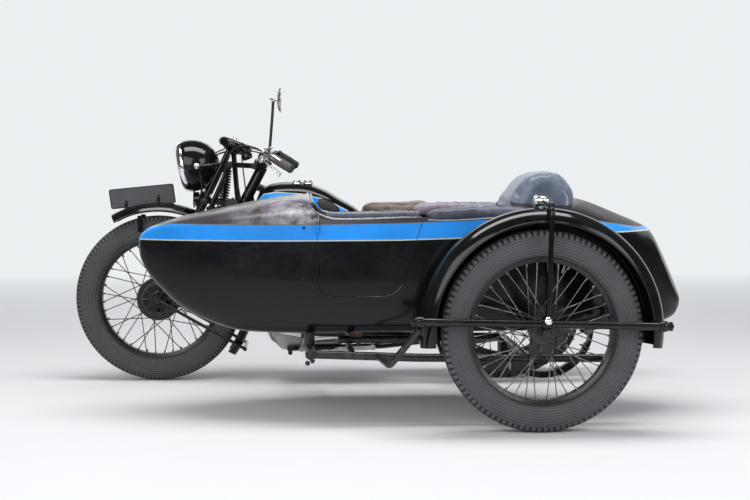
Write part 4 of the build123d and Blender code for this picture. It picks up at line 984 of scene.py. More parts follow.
def side_pads():
    """The long pads beside the passenger."""
    front = 412
    for name, way, rear, top, centre, wide, material, nodes in (
            ("left", 1, 50, 723, BODY_Y + 252, 28, "NavyHide", ["cockpit_side_pads"]),
            ("right", -1, 86, 728, BODY_Y - 245, 25.5, "PlumLeather", [])):
        form = Form()
        rings = []
        span = front - rear
        for s in [0, 0.01, 0.03, 0.06, 0.1] + [0.1 + 0.8 * k / 16 for k in range(1, 17)] + [0.94, 0.97, 0.99, 1.0]:
            x = front - span * s
            ends = max(0.05, min(1, min(s, 1 - s) / 0.07)) ** 0.5
            high = top - 6 * max(0, 1 - s * 3) + (5 * max(0, s - 0.6) if way == 1 else 0)
            low = 679 + (34 * max(0, s - 0.4) if way == 1 else 0)
            mid_z, half_z, half_y = (low + high) / 2, (high - low) / 2 * ends, wide * ends
            rings.append([(x, centre + half_y * math.copysign(abs(math.cos(a)) ** 0.7, math.cos(a)),
                           mid_z + half_z * math.copysign(abs(math.sin(a)) ** 0.8, math.sin(a)))
                          for a in turns(28)])
        form.rings(rings)
        pad = form.raw("side_pad_" + name, material)
        swollen(pad, 0.004, 4.0, 0.005)
        for vert in pad.data.vertices:
            x = vert.co.x * 1000 + ORIGIN.x
            vert.co.z += 0.0013 * math.sin(x / 6.5 + 3 * way) * math.sin(x / 23.0)
        placed(pad, "chassis", nodes)
        piping("side_pad_piping_" + name, [(front - 4, centre + way * 25, 684), (300, centre + way * 29, 684),
                                           (rear + 8, centre + way * 27, 700)], "chassis", "PalePiping", 2.2)


def door_roll():
    """The roll along the door's top and its piped edge."""
    roll = Form()
    roll.tube(rounded(((745, 950, 700), (700, 957, 698), (600, 961, 699), (470, 962, 701), (436, 962, 701)), 8),
              10, 14)
    obj = roll.piece("door_roll", "door", "NavyHide", ["door_capping"])
    edge = Form()
    edge.tube(rounded(((740, 956, 709), (700, 961, 706.5), (600, 965, 707.5), (470, 967, 710), (440, 967, 710)), 8),
              2.2, 8)
    edge.piece("door_roll_edge", "door", "PalePiping")


# ---------------------------------------------------------------- wheels
WALL, SHOULDER, RIB, GROOVE = range(4)          # the kinds of place across a tyre


def tyre_profile(ribs, tread):
    """Half of a tyre's section, from its bead to its crown: (radius, across, kind of place)."""
    wall = [(243, 27), (247, 32), (255, 36.5), (266, 40.2), (279, 42.2), (291, 42.0), (301, 40.2), (307, 38.0)]
    shoulder = [(309, 37.4), (319.5, 31.6), (323.5, 28.4), (325, 26.6)]
    crown = []
    edge = 26.0
    for i in range(ribs):
        outer, inner = edge - i * edge / ribs, edge - (i + 1) * edge / ribs
        for y, sunk in ((outer - 0.2, 1), (outer - 1.4, 0), (inner + 1.6, 0), (inner + 0.4, 1)):
            crown.append((TYRE_RADIUS - 0.0068 * y * y - tread * sunk, max(y, 0), GROOVE if sunk else RIB))
    return [(*p, WALL) for p in wall] + [(*p, SHOULDER) for p in shoulder] + crown


def tyre(name, axle, body, node, ribs, segments, notch, material):
    """A tyre with moulded tread; notch(i, kind, across) gives how deep a place is cut at each step round."""
    half = tyre_profile(ribs, bpy.context.scene.sidecar_trim.tread * 1000)
    profile = half + [(r, -y, kind) for r, y, kind in reversed(half)]
    form = Form()
    rings = []
    for i, turn in enumerate(turns(segments)):
        cut = [(r - notch(i, kind, y), y) for r, y, kind in profile]
        rings.append([(axle.x + r * math.cos(turn), axle.y + y, axle.z + r * math.sin(turn)) for r, y in cut])
    form.rings(rings, closed=True)
    form.piece(name, body, material, [node], sharp=32)


def tyres():
    """The three tyres: ribbed in front, blocks behind, lugs at the shoulders of the sidecar's."""
    def ribbed(i, kind, _):
        return 3.0 if kind == SHOULDER and i % 3 == 0 else 0

    def blocks(i, kind, y):
        shift = int(abs(y) // 9) * 2
        return 3.4 if kind in (SHOULDER, RIB) and (i + shift) % 6 == 0 else 0

    def lugs(i, kind, y):
        if kind == SHOULDER:
            return 4.0 if i % 4 == 0 else 0
        shift = int(abs(y) // 10) * 2
        return 3.4 if kind == RIB and abs(y) > 8 and (i + shift) % 4 == 0 else 0

    tyre("front_tyre_tread", FRONT_AXLE, "front_wheel_set", "front_tyre", 4, 360, ribbed, "FrontTyre")
    tyre("rear_tyre_tread", REAR_AXLE, "rear_wheel_set", "rear_tyre", 3, 300, blocks, "RearTyre")
    tyre("sidecar_tyre_tread", SIDE_AXLE, "sidecar_wheel_set", "sidecar_tyre", 3, 400, lugs, "SideTyre")


def wheel_trim():
    """Rim edge beads and lines, spoke nipples and a valve for each wheel."""
    for label, axle, metal in (("front", FRONT_AXLE, "BlackIron"), ("rear", REAR_AXLE, "Steel"),
                               ("sidecar", SIDE_AXLE, "Steel")):
        body = label + "_wheel_set"
        for name, radius, wide, wire, sides, material in (("_rim_beads", 243, 27, 3.2, 8, "BlackEnamel"),
                                                          ("_rim_lines", 239.5, 27.5, 1.1, 6, "Chrome")):
            beads = Form()
            for way in (1, -1):
                beads.turn([(radius + wire * math.cos(a), way * wide + wire * math.sin(a)) for a in turns(sides)],
                           axle, ALONG_Y, 120, closed=True)
            beads.piece(label + name, body, material)
        nipples = Form()
        for k in range(40):
            way = outward(math.radians(9 * k + 4.5))
            tilt = (way + ALONG_Y * (0.06 if k % 2 else -0.06)).normalized()
            foot = axle + way * 229 + ALONG_Y * (-4 if k % 2 else 4)
            nipples.tube([foot, foot - tilt * 3, foot - tilt * 13], [4.2, 3.1, 2.6], 8)
        valve = axle + outward(1.9) * 228
        inward = (axle - valve).normalized()
        nipples.tube([valve, valve + inward * 18, valve + inward * 19, valve + inward * 30], [4, 4, 5, 4.4], 12)
        nipples.piece(label + "_spoke_nipples", body, metal)


# ---------------------------------------------------------------- fuel tank and saddle
TANK_LINES = (
    # x, bottom, shoulder, crown, half width
    (588, 628, 648, 676, 46), (612, 620, 662, 697, 70), (668, 619, 690, 730, 92), (728, 619, 714, 765, 104),
    (800, 619, 734, 790, 111), (888, 620, 738, 794, 111), (948, 634, 728, 786, 103), (985, 672, 712, 764, 78),
    (1001, 694, 712, 730, 44))


def fuel_tank():
    """The saddle tank, hollow below where it sits over the frame."""
    form = Form()
    rings = []
    for i in range(57):
        x = mixed(588, 1001, 0.5 - 0.5 * math.cos(math.pi * i / 56))
        bottom, shoulder, crown, half = table_at(TANK_LINES, x)
        right = [(18, bottom + 2), (half * 0.55, bottom), (half * 0.8, bottom + 2), (half * 0.95, bottom + 9),
                 (half, bottom + 20)]
        right += [(half + 1.5 * math.sin(math.pi * k / 5), mixed(bottom + 20, shoulder, k / 5)) for k in range(1, 5)]
        right += [(half * math.cos(a) ** 0.8, shoulder + (crown - shoulder) * math.sin(a) ** 1.05)
                  for a in quarter(12)]
        ring = right + [(-y, z) for y, z in right[-2::-1]]
        tunnel = min(bottom + 46, crown - 30)
        ring += [(-18, tunnel), (18, tunnel)]
        rings.append([(x, y, z) for y, z in ring])
    form.rings(rings)
    form.piece("fuel_tank_shell", "chassis", "TankPaint", ["fuel_tank"], sharp=40)


def filler_caps():
    """The tank's two winged caps and the tap under it."""
    cap = Form()
    for x, y in ((842, 40), (796, 40)):
        cap.turn([(15, -12), (15, 2), (19, 3), (20, 5), (20, 9), (18, 11), (9, 14), (0.01, 14.4)], (x, y, 784),
                 (0, 0.25, 1), 30)
        for way in (1, -1):
            cap.tube(rounded(((x, y + 3, 796), (x + way * 9, y + 4, 799), (x + way * 18, y + 5, 805)), 4),
                     [3.4, 3.4, 3.6, 4, 4.4, 4.8, 4.8, 4.2, 3], 10, flat=0.5)
    cap.bar((842, 42, 796), (796, 42, 796), 3)
    cap.bar((640, 60, 626), (640, 60, 596), 6)
    cap.bar((640, 60, 606), (640, 82, 606), 4)
    cap.block((634, 78, 602), (646, 84, 618), 2)
    cap.piece("filler_cap", "chassis", "DullChrome")


def knee_grips():
    """Oval knee grips in their rings, leaning with the tank's line."""
    lean = math.radians(24)
    for name, material, rows in (("knee_grips", "KneeRubber", ((1, -8), (1, 3), (0.93, 6), (0.8, 7.5))),
                                 ("knee_grip_rings", "RailPaint", ((1.13, -8), (1.15, 1), (1.1, 4), (1.0, 4.4)))):
        grips = Form()
        for way in (1, -1):
            rings = []
            for grow, out in rows:
                ring = []
                for a in turns(36):
                    u, v = 46 * grow * math.cos(a), 20 * grow * math.sin(a)
                    ring.append((KNEE.x + u * math.cos(lean) - v * math.sin(lean), way * (103 + out),
                                 KNEE.z + u * math.sin(lean) + v * math.cos(lean)))
                rings.append(ring)
            grips.rings(rings)
        grips.piece(name, "chassis", material)


SADDLE_X = 441              # the saddle's middle


def saddle():
    """The rider's saddle: a padded top with a rolled and studded skirt."""
    outline = []
    for a in turns(48):
        broad = 0.5 - 0.5 * math.cos(a)
        outline.append((math.cos(a), math.sin(a) * (0.36 + 0.64 * broad ** 0.8)))
    form = Form()
    rings = []
    for grow, z in ((0.97, 662), (1.0, 668), (1.01, 682), (0.99, 694), (0.93, 704), (0.80, 709), (0.55, 707),
                    (0.28, 702), (0.04, 700)):
        rings.append([(SADDLE_X + 140 * grow * u, 138 * grow * v, z + 8 * max(0, -u) ** 2 * (z > 690))
                      for u, v in outline])
    form.rings(rings)
    pad = form.raw("saddle_pad", "BrownLeather")
    swollen(pad, 0.005, 4.0, 0.005)
    placed(pad, "chassis", ["saddle"])
    trim = Form()
    trim.tube([(SADDLE_X + 141 * u, 139 * v, 671) for u, v in outline], 2.6, 8, closed=True)
    for k in range(0, 48, 3):
        u, v = outline[k]
        trim.turn([(4, -1), (4, 0.5), (2.6, 2), (0.01, 2.6)], (SADDLE_X + 142 * u, 140 * v, 678), (u, v, 0.1), 10)
    trim.piece("saddle_trim", "chassis", "DullChrome")


def saddle_springs():
    """The saddle's coil springs between their cups, and its front pivot."""
    springs = Form()
    for y in (-80, 80):
        springs.coil((372, y, 580), (372, y, 652), 21, 3.3, 6.5)
        springs.turn([(0.01, 0), (20, 0), (23, 2), (23, 5), (8, 6), (8, 7)], (372, y, 574), UP, 24)
        springs.turn([(8, 0), (8, 1), (24, 2), (24, 5), (12, 8), (0.01, 8)], (372, y, 651), UP, 24)
    springs.bar((372, -98, 579), (372, 98, 579), 4)
    springs.bar((558, 0, 629), (558, 0, 659), 13)
    springs.piece("saddle_coils", "chassis", "Steel", ["saddle_springs"])


# ---------------------------------------------------------------- fork, lamp and handlebar
RAKE = math.tan(math.radians(25.5))
HEAD_TILT = math.radians(27)


def on_girder(z, y=80, back=0):
    """A place on a fork blade at a height, or behind it."""
    return Vector((FRONT_AXLE.x - (z - FRONT_AXLE.z) * RAKE - back, y, z))


def on_head(along, forward=0, y=0):
    """A place up the steering axis from the head tube's middle, and forward of it."""
    return Vector((1022 - along * math.sin(HEAD_TILT) + forward * math.cos(HEAD_TILT), y,
                   768 + along * math.cos(HEAD_TILT) + forward * math.sin(HEAD_TILT)))


def barrel_spring():
    """The girder fork's barrel spring in its cups, with the rods beside it."""
    spring = Form()
    top, foot = Vector((1117, 0, 844)), Vector((1140, 0, 686))
    way = (foot - top).normalized()
    coils = bpy.context.scene.sidecar_trim.coils
    spring.coil(top + way * 4, foot - way * 4, 14.5, 3.1, coils, swell=4.5, sides=10, dense=18)
    spring.bar(top + way * 2, foot - way, 6)
    spring.turn([(0.01, 0), (17, 1), (19, 3), (19, 7), (15, 9), (8, 10)], top + way * 2, way, 28)
    spring.turn([(8, 0), (15, 1), (19, 3), (19, 7), (17, 9), (0.01, 10)], foot - way * 12, way, 28)
    for y in (34, -34):
        spring.bar((1094, y, 925), (1074, y, 678), 9)
    spring.piece("fork_barrel_spring", "fork", "BlackEnamel", ["fork_spring"])


def fork_nuts():
    """The nuts and washers on the fork's links and the front axle."""
    nuts = Form()
    for place in (on_girder(720, 0), Vector((1106, 0, 863)), on_head(-88, 40), on_head(86, 30)):
        for way in (1, -1):
            reach = 98 if place.x > 1100 else 69
            nuts.nut(place + ALONG_Y * way * (reach - 1), ALONG_Y * way, 10.5, 7, 0.45)
            nuts.turn([(13, 0), (13.5, 0.8), (13, 1.8), (8, 2)], place + ALONG_Y * way * (reach - 2.5),
                      ALONG_Y * way, 24)
    for way in (1, -1):
        nuts.nut(FRONT_AXLE + ALONG_Y * way * 83, ALONG_Y * way, 13, 9, 0.5)
    nuts.piece("fork_nuts", "fork", "BlackIron")


def dampers():
    """The fork damper's hand wheel and the steering damper's knob."""
    damper = Form()
    centre = on_head(-88, 40) + ALONG_Y * 78
    for a in turns(7):
        damper.turn([(0.01, 0), (6, 0.5), (7.5, 3), (7.5, 9), (6, 11), (0.01, 11.5)],
                    centre + outward(a) * 19, ALONG_Y, 12)
    damper.turn([(0.01, 1), (20, 1), (22, 3), (22, 8), (19, 10), (8, 12), (7, 15), (0.01, 15.5)], centre, ALONG_Y, 36)
    damper.piece("damper_wheel", "fork", "BlackRubber")
    steering = Form()
    top = on_head(98)
    up = Vector((-math.sin(HEAD_TILT), 0, math.cos(HEAD_TILT)))
    steering.nut(top, up, 20, 12, 0.6)
    steering.turn([(9, 12), (9, 16), (24, 18), (27, 21), (27, 27), (24, 30), (10, 32), (0.01, 32.4)], top, up, 36)
    for out in map(compass(up), turns(10)):
        rim = top + up * 18 + out * 25.5
        steering.bar(rim, rim + up * 12, 3.6, 8)
    steering.piece("steering_damper_knob", "fork", "BlackRubber")


def control_cables():
    """The control cables' fixed run from the bars."""
    cables = Form()
    for points, radius in (
            (((946, 244, 897), (1000, 236, 928), (1062, 190, 934), (1112, 120, 890), (1128, 76, 800),
              (1148, 70, 716), (1196, 72, 600), (1262, 72, 480), (1318, 72, 404), (1334, 70, 372)), 3),
            (((950, -244, 897), (1006, -226, 926), (1066, -170, 930), (1096, -96, 876), (1080, -52, 792),
              (1064, -42, 706)), 2.8),
            (((954, 226, 899), (1016, 206, 916), (1052, 140, 902), (1052, 76, 838), (1044, 50, 756),
              (1052, 40, 700)), 2.6),
            (((1100, 16, 920), (1150, 24, 906), (1176, 14, 884), (1168, 4, 868)), 3.4),
            (((1130, -24, 926), (1166, -30, 910), (1188, -16, 886), (1180, -6, 872)), 2.6)):
        cables.tube(rounded(points, 7), radius, 8)
    cables.piece("control_cables", "fork", "BlackRubber")


def headlamp():
    """The headlamp's shell, chrome rim, fluted lens and reflector."""
    tilt = math.radians(11)
    way = Vector((math.cos(tilt), 0, -math.sin(tilt)))
    face = Vector((1297, 0, 852))
    shell = Form()
    shell.turn([(88, 0), (97, -6), (102, -16), (104, -30), (103, -50), (98.5, -72), (89, -95), (74, -117), (53, -135),
                (28, -146), (0.01, -149)], face, way, 72)
    shell.piece("headlamp_shell", "fork", "BlackEnamel", ["headlamp"])
    rim = Form()
    rim.turn([(83.5, 4), (84.5, 8), (88, 9.5), (93, 7), (98, 1), (100.5, -6), (101.5, -13), (100.5, -15), (97, -15)],
             face, way, 72)
    for side in (1, -1):
        rim.nut((1233, side * 103, 857), (0, side, 0), 8.5, 7, 0.5)
        rim.bar((1226, side * 106, 857), (1176, side * 92, 861), 3.4, 10)
        rim.turn([(11, -4), (11.5, 1), (11, 2), (6, 2.4)], (1233, side * 101, 857), (0, side, 0), 20)
    rim.piece("headlamp_rim", "fork", "Chrome")
    lens = Form()
    lens.turn([(84 * math.sin(a), 5 + 150 * (math.cos(a * 0.58) - math.cos(math.pi / 2 * 0.58)) * 0.24)
               for a in quarter(12)[:0:-1]] + [(0.01, 22.5)], face, way, 64)
    lens.piece("headlamp_glass", "fork", "LampGlass", ["headlamp_lens"])
    bowl = Form()
    bowl.turn([(83, 0), (74, -14), (58, -30), (38, -44), (16, -54), (9, -56), (9, -30), (7, -22), (0.01, -20)],
              face, way, 56)
    bowl.piece("headlamp_reflector", "fork", "MirrorGlass")


def lamp_brackets():
    """The headlamp's brackets and their bolts."""
    bracket = Form()
    for side in (1, -1):
        bracket.tube(rounded([sided(p, side) for p in ((1222, 88, 838), (1214, 78, 800), (1213, 70, 760),
                                                       (1224, 66, 715), (1238, 64, 668))], 5), 7.5, 12)
        bracket.bar((1148, side * 76, 843), (1206, side * 74, 762), 7, 12)
    bracket.piece("lamp_brackets", "fork", "BlackEnamel")
    bolts = Form()
    for side in (1, -1):
        bolts.nut((1238, side * 70, 668), (0, side, 0), 8, 6, 0.5)
        bolts.nut((1206, side * 80, 762), (0, side, 0), 7, 5, 0.5)
    bolts.piece("lamp_bracket_bolts", "fork", "DullChrome")


def instruments():
    """The dial cluster over the fork: drum, chrome bezel, face with ticks, and knobs."""
    tilt = math.radians(20)
    way = Vector((-math.sin(tilt), 0, math.cos(tilt)))
    centre = Vector((1087, 0, 935))
    drum = Form()
    drum.turn([(52 + 18 * math.cos(a), 6 + 19 * math.sin(a)) for a in turns(20)],
              centre, way, 64, closed=True)
    drum.turn([(0.01, -26), (30, -25), (46, -16), (54, -4)], centre, way, 48)
    drum.turn([(0.01, -16), (19, -13), (24, 0), (19, 13), (0.01, 16)], (1040, 24, 898), (0.4, 0.2, 1), 28)
    drum.piece("dial_drum", "fork", "BlackEnamel", ["instrument_head"])
    ring = Form()
    ring.turn([(45, 17), (46, 23.5), (50, 25), (54, 23)], centre, way, 64)
    for x, y in ((-34, -24), (-34, 24), (10, 0)):
        knob = centre + Vector((x, y, x * 0.53))
        ring.turn([(6, 19), (6, 24), (9, 25), (9.6, 27), (9.6, 31), (8, 33), (0.01, 33.6)], knob, way, 20)
    ring.piece("dial_bezel", "fork", "Chrome")
    face = Form()
    face.turn([(48, 20.2), (30, 20.3), (0.01, 20.4)], centre, way, 48)
    face.mark = 1
    foot = centre + way * 20.6
    for k in range(21):
        out = compass(way)(math.radians(-130 + 13 * k) - math.pi / 2)
        face.bar(foot + out * (40 if k % 2 else 36), foot + out * 44, 0.7, 5, 0.1)
    side, up = square_to(way)
    face.bar(centre + way * 21.2, centre + way * 21.2 + (side + up) * 24, 0.9, 6, 0.1)
    face.piece("dial_face", "fork", ["DialFace", "DialMarks"])


BAR_TIP, BAR_BEND, BAR_ROOT = Vector((856, 366, 857)), Vector((950, 280, 915)), Vector((985, 140, 885))
TURNED = {1: Vector((8, 0, -8)), -1: Vector((-11, 0, 4))}      # how the bars stand on each side
MIRROR = Vector((908, 256, 1111))


def handlebar():
    """The bent bar, which ends in the grips."""
    bar = Form()
    left, right = [[sided(p, way) for p in ((992, 60, 872), BAR_ROOT, BAR_BEND + TURNED[way], BAR_TIP + TURNED[way])]
                   for way in (1, -1)]
    bar.tube(rounded(left[::-1] + right, 8), 11, 20)
    bar.piece("bent_bar", "fork", "Chrome", ["handlebar"])


def grips():
    """The ribbed grips."""
    along = (BAR_TIP - BAR_BEND).normalized()
    for name, way, material, nodes in (("left_grip", 1, "GripRubber", ["handlebar_grips"]),
                                       ("right_grip", -1, "BlackRubber", [])):
        form = Form()
        profile = [(12, -114), (16.5, -115), (18.5, -112), (18.5, -107), (15, -104)]
        for k in range(15):
            s = -101 + k * 6.4
            swell = 16.4 + 1.2 * math.sin(math.pi * (k + 1) / 16)
            profile += [(swell - 1.1, s), (swell, s + 1.3), (swell, s + 3.7), (swell - 1.1, s + 5)]
        profile += [(15.5, -4), (17, -3), (17, 0), (15, 1), (10.5, 1), (9.6, 0), (9.6, -14), (0.01, -15)]
        form.turn(profile, sided(BAR_TIP + along * 3, way) + TURNED[way], sided(along, way), 30)
        form.piece(name, "fork", material, nodes)


def bar_controls():
    """Clutch and brake levers on their clamps, with air and magneto levers."""
    controls = Form()
    for way in (1, -1):
        along = sided(BAR_BEND - BAR_ROOT, way).normalized()
        for place, width in ((0.62, 26), (0.40, 18)):
            middle = sided(BAR_ROOT.lerp(BAR_BEND, place), way)
            controls.turn([(11.4, -width / 2), (15.5, -width / 2), (16.5, 1 - width / 2), (16.5, width / 2 - 1),
                           (15.5, width / 2), (11.4, width / 2)], middle, along, 24)
            controls.bar(middle + Vector((10, 0, -22)), middle + Vector((6, 0, 2)), 5.5, 12)
            controls.nut(middle + Vector((11, 0, -20)), (0.2, 0, -1), 6, 5, 0.4)
        lever = rounded([sided(p, way) for p in ((975, 232, 880), (962, 262, 872), (944, 292, 858),
                                                 (926, 312, 842), (908, 330, 824))], 6)
        controls.tube(lever, [mixed(5, 2.8, i / (len(lever) - 1)) for i in range(len(lever))], 12, flat=0.62)
        controls.turn([(0.01, -5), (3, -4.4), (4.8, -2), (5, 0), (4.8, 2), (3, 4.4), (0.01, 5)], lever[-1],
                      lever[-1] - lever[-4], 16)
        controls.turn([(0.01, -7), (9, -6.5), (10, -5), (10, 5), (9, 6.5), (0.01, 7)],
                      sided((974, 232, 880), way), (0, 0.2, 1), 20)
        base = sided(BAR_ROOT.lerp(BAR_BEND, 0.40), way)
        controls.turn([(0.01, -3), (19, -2.5), (21, 0), (19, 3), (8, 5), (0.01, 5.5)], base + Vector((4, 0, 22)),
                      UP, 30)
        thumb = rounded([base + Vector(p) for p in ((4, 0, 27), (-16, 0, 30), (-36, 0, 33))], 4)
        controls.tube(thumb, [4.5, 4, 3.4, 3, 2.8, 2.8, 3, 3.4, 4.2], 10, flat=0.6)
    controls.piece("bar_controls", "fork", "Chrome", ["control_levers"])


def bar_mirror():
    """The round mirror on its stalk."""
    mirror = Form()
    mirror.mark = 1
    mirror.tube(rounded(((946, 256, 908), (944, 256, 926), (934, 256, 1050), (931, 256, 1104)), 6), 5.4, 12)
    mirror.mark = 0
    mirror.turn([(11.4, -9), (16, -9), (17, -7), (17, 7), (16, 9), (11.4, 9)], (955.4, 256, 909.6),
                (-0.235, 0.95, 0.2), 24)
    mirror.nut((944, 256, 922), (-0.08, 0, 1), 9, 9, 0)
    mirror.turn([(0.01, -9), (6, -7), (9, 0), (6, 7), (0.01, 9)], (930, 256, 1108), AHEAD, 20)
    mirror.bar((934, 256, 1109), MIRROR + AHEAD * 4, 4.5, 12)
    for side in (1, -1):                                # wing nut behind the ball
        mirror.tube(rounded(((934, 256, 1109), (939, 256 + side * 9, 1113), (942, 256 + side * 17, 1118)), 4),
                    [4, 4, 4, 4.5, 5, 5, 5.5, 5, 3], 10, flat=0.4)
    mirror.turn([(0.01, 9), (20, 8), (36, 5), (45, 0), (48, -4), (48.6, -6), (47, -7), (46, -6.4)],
                MIRROR, AHEAD, 56)
    mirror.piece("mirror_shell", "fork", ["DullChrome", "BlackIron"], ["mirror"])
    glass = Form()
    glass.turn([(46.5, -5.6), (30, -6.2), (0.01, -6.4)], MIRROR, AHEAD, 48)
    glass.piece("mirror_glass", "fork", "MirrorGlass")


def front_plate():
    """The plain number plate on its studs."""
    plate = Form()
    corners = ((1588, 761), (1335, 786), (1325, 711), (1578, 686))
    mid = (1456.5, 736)
    for side in (1, -1):
        outline = soft_corners([(mixed(mid[0], x, 0.985), mixed(mid[1], z, 0.97)) for x, z in corners], 5)
        plate.plate(outline, (0, side * 1.9, 0), AHEAD, UP, 1.8, 0.6)
    plate.piece("front_plate_face", "fork", "PlateBlack")
    rim = Form()
    edge = [(x, 0, z) for x, z in soft_corners(corners, 8)]
    rim.tube(edge, 1.9, 8, closed=True)
    for x, z in ((1392, 722), (1520, 699)):
        rim.turn([(13, -1), (13, 1), (7, 4), (6, 8), (6, 20)], (x, 0, z - 16), (0.1, 0, 1), 20)
        rim.nut((x, 3, z + 8), ALONG_Y, 6, 4, 0.4)
    rim.piece("front_plate_rim", "fork", "BlackEnamel")


def front_guard_edges():
    """The rolled edges of the front guard and its stays' plates."""
    skirts = Form()
    for side in (1, -1):
        skirts.tube([polar(FRONT_AXLE, 350, mixed(60.5, 217.5, i / 60), side * 57) for i in range(61)], 3.6, 8)
        skirts.plate(soft_corners([(1448, 596), (1468, 596), (1470, 662), (1450, 662)], 4), (0, side * 61, 0),
                     AHEAD, UP, 3.4, 0.8)
    skirts.piece("front_guard_skirts", "fork", "BlackEnamel")


def brake_plate():
    """The ribs, nut and lever of the front brake's plate."""
    brake = Form()
    for r0, r1, y0, y1 in ((72, 58, 60, 66), (34, 26, 60, 74)):
        brake.turn([(r0, y0 - 4), (r0, y1 - 4), (r0 - 3, y1), (r1, y1 + 1), (r1 - 6, y1 - 3), (0.01, y1 - 3)],
                   FRONT_AXLE, sides=56)
    for out in map(outward, turns(10)):
        brake.bar(FRONT_AXLE + ALONG_Y * 66 + out * 34, FRONT_AXLE + ALONG_Y * 63 + out * 68, 4.2, 8)
    brake.nut(FRONT_AXLE + ALONG_Y * 74, ALONG_Y, 15, 10, 0.5)
    brake.tube(rounded([FRONT_AXLE + Vector(p) for p in ((-20, 74, 44), (-30, 76, 70), (-32, 76, 100))], 5),
               [6, 6, 6, 6, 5, 5, 4, 4, 4, 4, 3.6], 10, flat=0.5)
    brake.turn([(0.01, -6), (12, -6), (13, 0), (12, 6), (0.01, 6)], FRONT_AXLE + Vector((-20, 72, 44)), ALONG_Y, 24)
    brake.piece("brake_plate_ribs", "fork", "BlackIron")


# ---------------------------------------------------------------- engine and drive
def case_screws():
    """The screws, caps and plugs of the engine's cases."""
    screws = Form()
    for x, z in ((660, 175), (700, 140), (760, 138), (820, 138), (880, 140), (925, 190), (935, 250), (935, 312),
                 (880, 370), (820, 372), (700, 372), (655, 320)):
        for way in (1, -1):
            screws.turn([(7.5, -1), (7.5, 2), (6.5, 3.6), (2, 4.2), (0.01, 4.2)], (x, way * 75, z), (0, way, 0), 16)
    for out in map(outward, turns(12)):
        screws.turn([(5, -1), (5, 1.6), (4, 2.6), (0.01, 2.8)], Vector((785, 119, 262)) + out * 74, ALONG_Y, 12)
    screws.turn([(0.01, 16), (20, 15), (24, 11), (25, 0), (30, -1), (30, -4)], (640, 75.3, 300), ALONG_Y, 32)
    screws.nut((640, 90, 300), ALONG_Y, 12, 8, 0.4)
    for x in (710, 752, 794):
        screws.nut((x, 60, 128), (0, 0, -1), 10, 7, 0.3)
    screws.piece("case_screws", "chassis", "Aluminium")


def pipes_and_leads():
    """The oil pipes and the plugs' leads."""
    pipes = Form()
    pipes.tube(rounded(((640, 70, 340), (634, 92, 380), (600, 96, 420), (560, 90, 470), (520, 62, 500)), 6), 5, 10)
    pipes.tube(rounded(((900, 62, 150), (940, 80, 170), (960, 84, 240), (930, 92, 340), (880, 100, 420)), 6), 4.5, 10)
    pipes.piece("oil_pipes", "chassis", "DullChrome")
    leads = Form()
    for x, y in ((743, 62), (827, 62), (743, -62), (827, -62)):
        leads.turn([(9, 0), (9, 12), (6, 16), (5, 30), (0.01, 31)], (x, y, 548), UP, 16)
        leads.tube(rounded(((x, y, 578), (x - 14, y * 1.05, 598), (x - 60, y * 1.1, 590), (664, y * 0.9, 470),
                            (648, y * 0.5, 418)), 6), 3.4, 8)
    leads.piece("plug_leads", "chassis", "BlackRubber")


CHAIN_PITCH = 15.875
DRIVE_SPROCKET = Vector((590, 60, 270))


def chain_links():
    """The rear chain's side plates and rollers, run round both sprockets."""
    rear, drive, rear_radius, drive_radius = REAR_AXLE + ALONG_Y * 60, DRIVE_SPROCKET, 98.5, 42
    run = drive - rear
    lean = math.atan2(run.z, run.x)
    spread = math.acos((rear_radius - drive_radius) / run.length)
    points = []
    for centre, radius, start, end in ((rear, rear_radius, lean + spread, lean + 2 * math.pi - spread),
                                       (drive, drive_radius, lean - spread, lean + spread)):
        points += [centre + outward(mixed(start, end, k / 60)) * radius for k in range(61)]
    points.append(points[0])
    reach = [0]
    for a, b in zip(points, points[1:]):
        reach.append(reach[-1] + (b - a).length)
    count = int(reach[-1] / CHAIN_PITCH) // 2 * 2
    pins, j = [], 0
    for k in range(count):
        s = reach[-1] * k / count
        while reach[j + 1] < s:
            j += 1
        pins.append(points[j].lerp(points[j + 1], (s - reach[j]) / (reach[j + 1] - reach[j])))
    form = Form()
    for k, a in enumerate(pins):
        b = pins[(k + 1) % count]
        run = (b - a).normalized()
        up = run.cross(ALONG_Y)
        outline = []
        length = (b - a).length
        for end, start in ((length, -90), (0, 90)):
            outline += [(end + 5.6 * out.x, 5.6 * out.z)
                        for out in (outward(math.radians(start + 30 * i)) for i in range(7))]
        for way in (1, -1):
            form.plate(outline, a + ALONG_Y * way * (6.6 if k % 2 else 4.8), run, up, 1.5, 0.3)
        form.bar(a - ALONG_Y * 5, a + ALONG_Y * 5, 3.6, 8, 0.3)
    form.piece("chain_link_run", "chassis", "ChainSteel", ["rear_chain"])
    sprocket = Form()
    teeth = [outward(a) * 32 * (1 if k % 2 else 1.12) for k, a in enumerate(turns(32))]
    sprocket.plate([(out.x, out.z) for out in teeth], DRIVE_SPROCKET, AHEAD, UP, 7, 0.8)
    sprocket.piece("drive_sprocket", "chassis", "ChainSteel")


